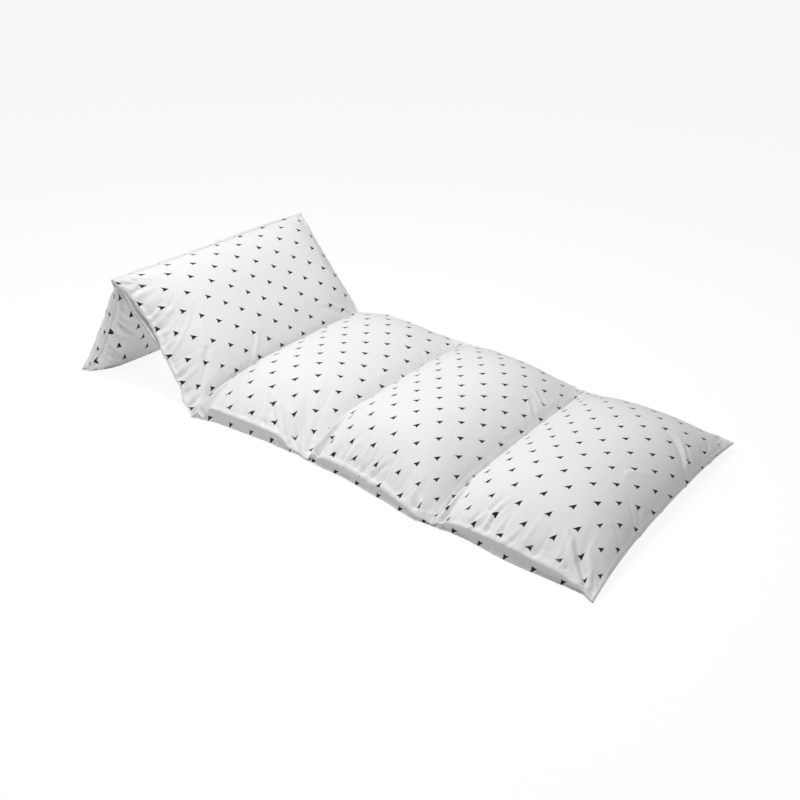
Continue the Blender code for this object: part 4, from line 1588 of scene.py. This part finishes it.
@dataclass(frozen=True)
class PhotoCamera:
    """The photograph's view, in the shape's own frame.

    Args:
        azimuth, elevation, roll: in degrees; azimuth 0 looks along +Y.
        distance: from the point looked at.
        target: the point looked at.
        focal_px: focal length in the photograph's pixels.
        sensor_mm: width of the sensor.
    """

    azimuth: float = 38.53
    elevation: float = 29.008
    roll: float = -0.538
    distance: float = 2.822
    target: tuple[float, float, float] = (0.415, 0.067, 0.0)
    focal_px: float = 959.92
    sensor_mm: float = 36.0

    def build(self) -> None:
        """Makes the camera and gives it to the scene."""
        az = math.radians(self.azimuth)
        el = math.radians(self.elevation)
        back = Vector((math.sin(az) * math.cos(el), -math.cos(az) * math.cos(el), math.sin(el)))
        right = Vector((0, 0, 1)).cross(back).normalized()
        up = back.cross(right)
        turn = math.radians(self.roll)
        cos, sin = math.cos(turn), math.sin(turn)
        right, up = right * cos + up * sin, up * cos - right * sin
        place = Vector(self.target) - Vector(SHAPE_ORIGIN) + back * self.distance
        data = bpy.data.cameras.new("camera")
        data.sensor_width = self.sensor_mm
        data.lens = self.focal_px / IMAGE_SIZE * self.sensor_mm
        camera = bpy.data.objects.new("camera", data)
        rotation = Matrix((right, up, back)).transposed().to_4x4()
        camera.matrix_world = Matrix.Translation(place) @ rotation
        bpy.context.scene.collection.objects.link(camera)
        bpy.context.scene.camera = camera


class LightKind(Enum):
    """The studio's kinds of light."""

    SOFT_BOX = "AREA"
    WINDOW = "SUN"


@dataclass(frozen=True)
class StudioLight:
    """One soft light.

    Args:
        name: of the light.
        kind: a soft box nearby, or a far window.
        place: where it stands.
        size: a soft box's side in metres, or a window's apparent size in radians.
        power: in watts, or for a window in watts for each square metre.
        aim: the point that it looks at.
    """

    name: str
    kind: LightKind
    place: tuple[float, float, float]
    size: float
    power: float
    aim: tuple[float, float, float] = (0.0, 0.0, 0.0)

    def build(self) -> None:
        """Makes the light."""
        data = bpy.data.lights.new(self.name, self.kind.value)
        if self.kind is LightKind.SOFT_BOX:
            data.size = self.size
        else:
            data.angle = self.size
        data.energy = self.power
        light = bpy.data.objects.new(self.name, data)
        light.location = self.place
        light.rotation_euler = (Vector(self.aim) - Vector(self.place)).to_track_quat("-Z", "Y").to_euler()
        bpy.context.scene.collection.objects.link(light)


@dataclass(frozen=True)
class Studio:
    """Pale floor and soft light.

    Args:
        paper: the floor's grey as it lights the cover from below.
        seen_paper, glow: the floor's grey and its own light as the camera sees it, near white.
        sky: strength of the light from all round.
        seen_sky: its strength as the camera sees it behind the floor, white.
        lights: the studio's lights.
        floor_half: half the floor's side in metres.
        floor_roughness: of the paper.
    """

    paper: float = 0.90
    seen_paper: float = 0.12
    glow: float = 0.89
    sky: float = 0.17
    seen_sky: float = 1.0
    lights: tuple[StudioLight, ...] = (
        StudioLight("window", LightKind.WINDOW, (-5.0, 0.0, 3.5), 0.12, 0.31),
        StudioLight("head box", LightKind.SOFT_BOX, (-1.1, -0.5, 2.8), 0.8, 26.5),
        StudioLight("middle box", LightKind.SOFT_BOX, (0.2, -0.4, 2.2), 0.8, 25.0),
        StudioLight("foot window", LightKind.WINDOW, (5.0, 0.0, 2.0), 0.20, 0.26),
        StudioLight("tent fill", LightKind.SOFT_BOX, (-0.6, -0.05, 0.03), 0.16, 0.24, (-0.8, -0.25, 0.1)),
        StudioLight("mouth fill", LightKind.SOFT_BOX, (-0.8, -1.0, 0.08), 0.2, 0.30, (-0.74, 0.0, 0.06)),
    )
    floor_half: float = 30.0
    floor_roughness: float = 0.9

    def build(self) -> None:
        """Makes the floor, the lights and the sky."""
        bpy.context.scene.view_settings.view_transform = "Standard"
        corners = np.array([(-1, -1, 0), (1, -1, 0), (1, 1, 0), (-1, 1, 0)]) * self.floor_half
        new_piece("floor", corners, [(0, 1, 2, 3)], self.floor_material())
        for light in self.lights:
            light.build()
        world = bpy.data.worlds.new("sky")
        world.use_nodes = True
        nodes = Nodes(world.node_tree)
        seen = nodes.add("ShaderNodeLightPath").outputs["Is Camera Ray"]
        strength = nodes.blend(seen, self.sky, self.seen_sky)
        nodes.feed(world.node_tree.nodes["Background"], {"Color": WHITE, "Strength": strength})
        bpy.context.scene.world = world

    def floor_material(self) -> bpy.types.Material:
        """Matt white paper, lifted towards white where the camera sees it."""
        surface = {"Roughness": self.floor_roughness, "Emission Color": WHITE}
        made, nodes, shader = new_material("floor_paper", surface)
        seen = nodes.add("ShaderNodeLightPath").outputs["Is Camera Ray"]
        glow = nodes.math("MULTIPLY", seen, self.glow)
        grey = nodes.blend(seen, self.paper, self.seen_paper)
        nodes.feed(shader, {"Base Color": grey, "Emission Strength": glow})
        return made


FLAP_NODES = {
    "a": "tuck_flap_foot",
    "b": "tuck_flap_second",
    "c": "tuck_flap_third",
    "d": "tuck_flap_backrest",
}
# Steps under the back cloth: more where it shows.
LIFTED_POCKETS = "de"
LIFTED_STEPS = 110
FLAT_STEPS = 50
# Painted shade: the flap is the cover's own cotton in a darker grey, standing for the shade under the hem.
FLAP_PAINTED_SHADE_CLOTH = (0.80, 0.80, 0.80)


def main() -> None:
    """Builds the studio, then each pocket with its flap and stitches."""
    PhotoCamera().build()
    Studio().build()
    groups = {"marks": ArrowMark().group(), "weave": PlainWeave().group(), "crumple": Crumple().group()}
    cotton = CottonFinish("printed_cotton").material(groups)
    # The same cotton in a darker grey, as painted shade on the flap under the hem.
    flap_cotton = CottonFinish("flap_cotton", cloth=FLAP_PAINTED_SHADE_CLOTH).material(groups)
    thread = ThreadFinish().material()
    shape = CoverShape()
    for index, pocket in enumerate(shape.pockets):
        back_steps = LIFTED_STEPS if pocket.name in LIFTED_POCKETS else FLAT_STEPS
        shell = PocketShell(shape, index, back_steps)
        piece = shell.build()
        shell.dress(piece, cotton)
        if pocket.flap:
            flap = TuckFlap(shell, FLAP_NODES[pocket.name])
            strip = flap.build()
            flap.dress(strip, flap_cotton, piece)
            log.info("flap %s: flat %s", flap.node, flap.flat)
        Stitching(shell).build(thread)
        log.info("pocket %s: %d faces", pocket.name, len(piece.data.polygons))


if __name__ == "__main__":
    main()
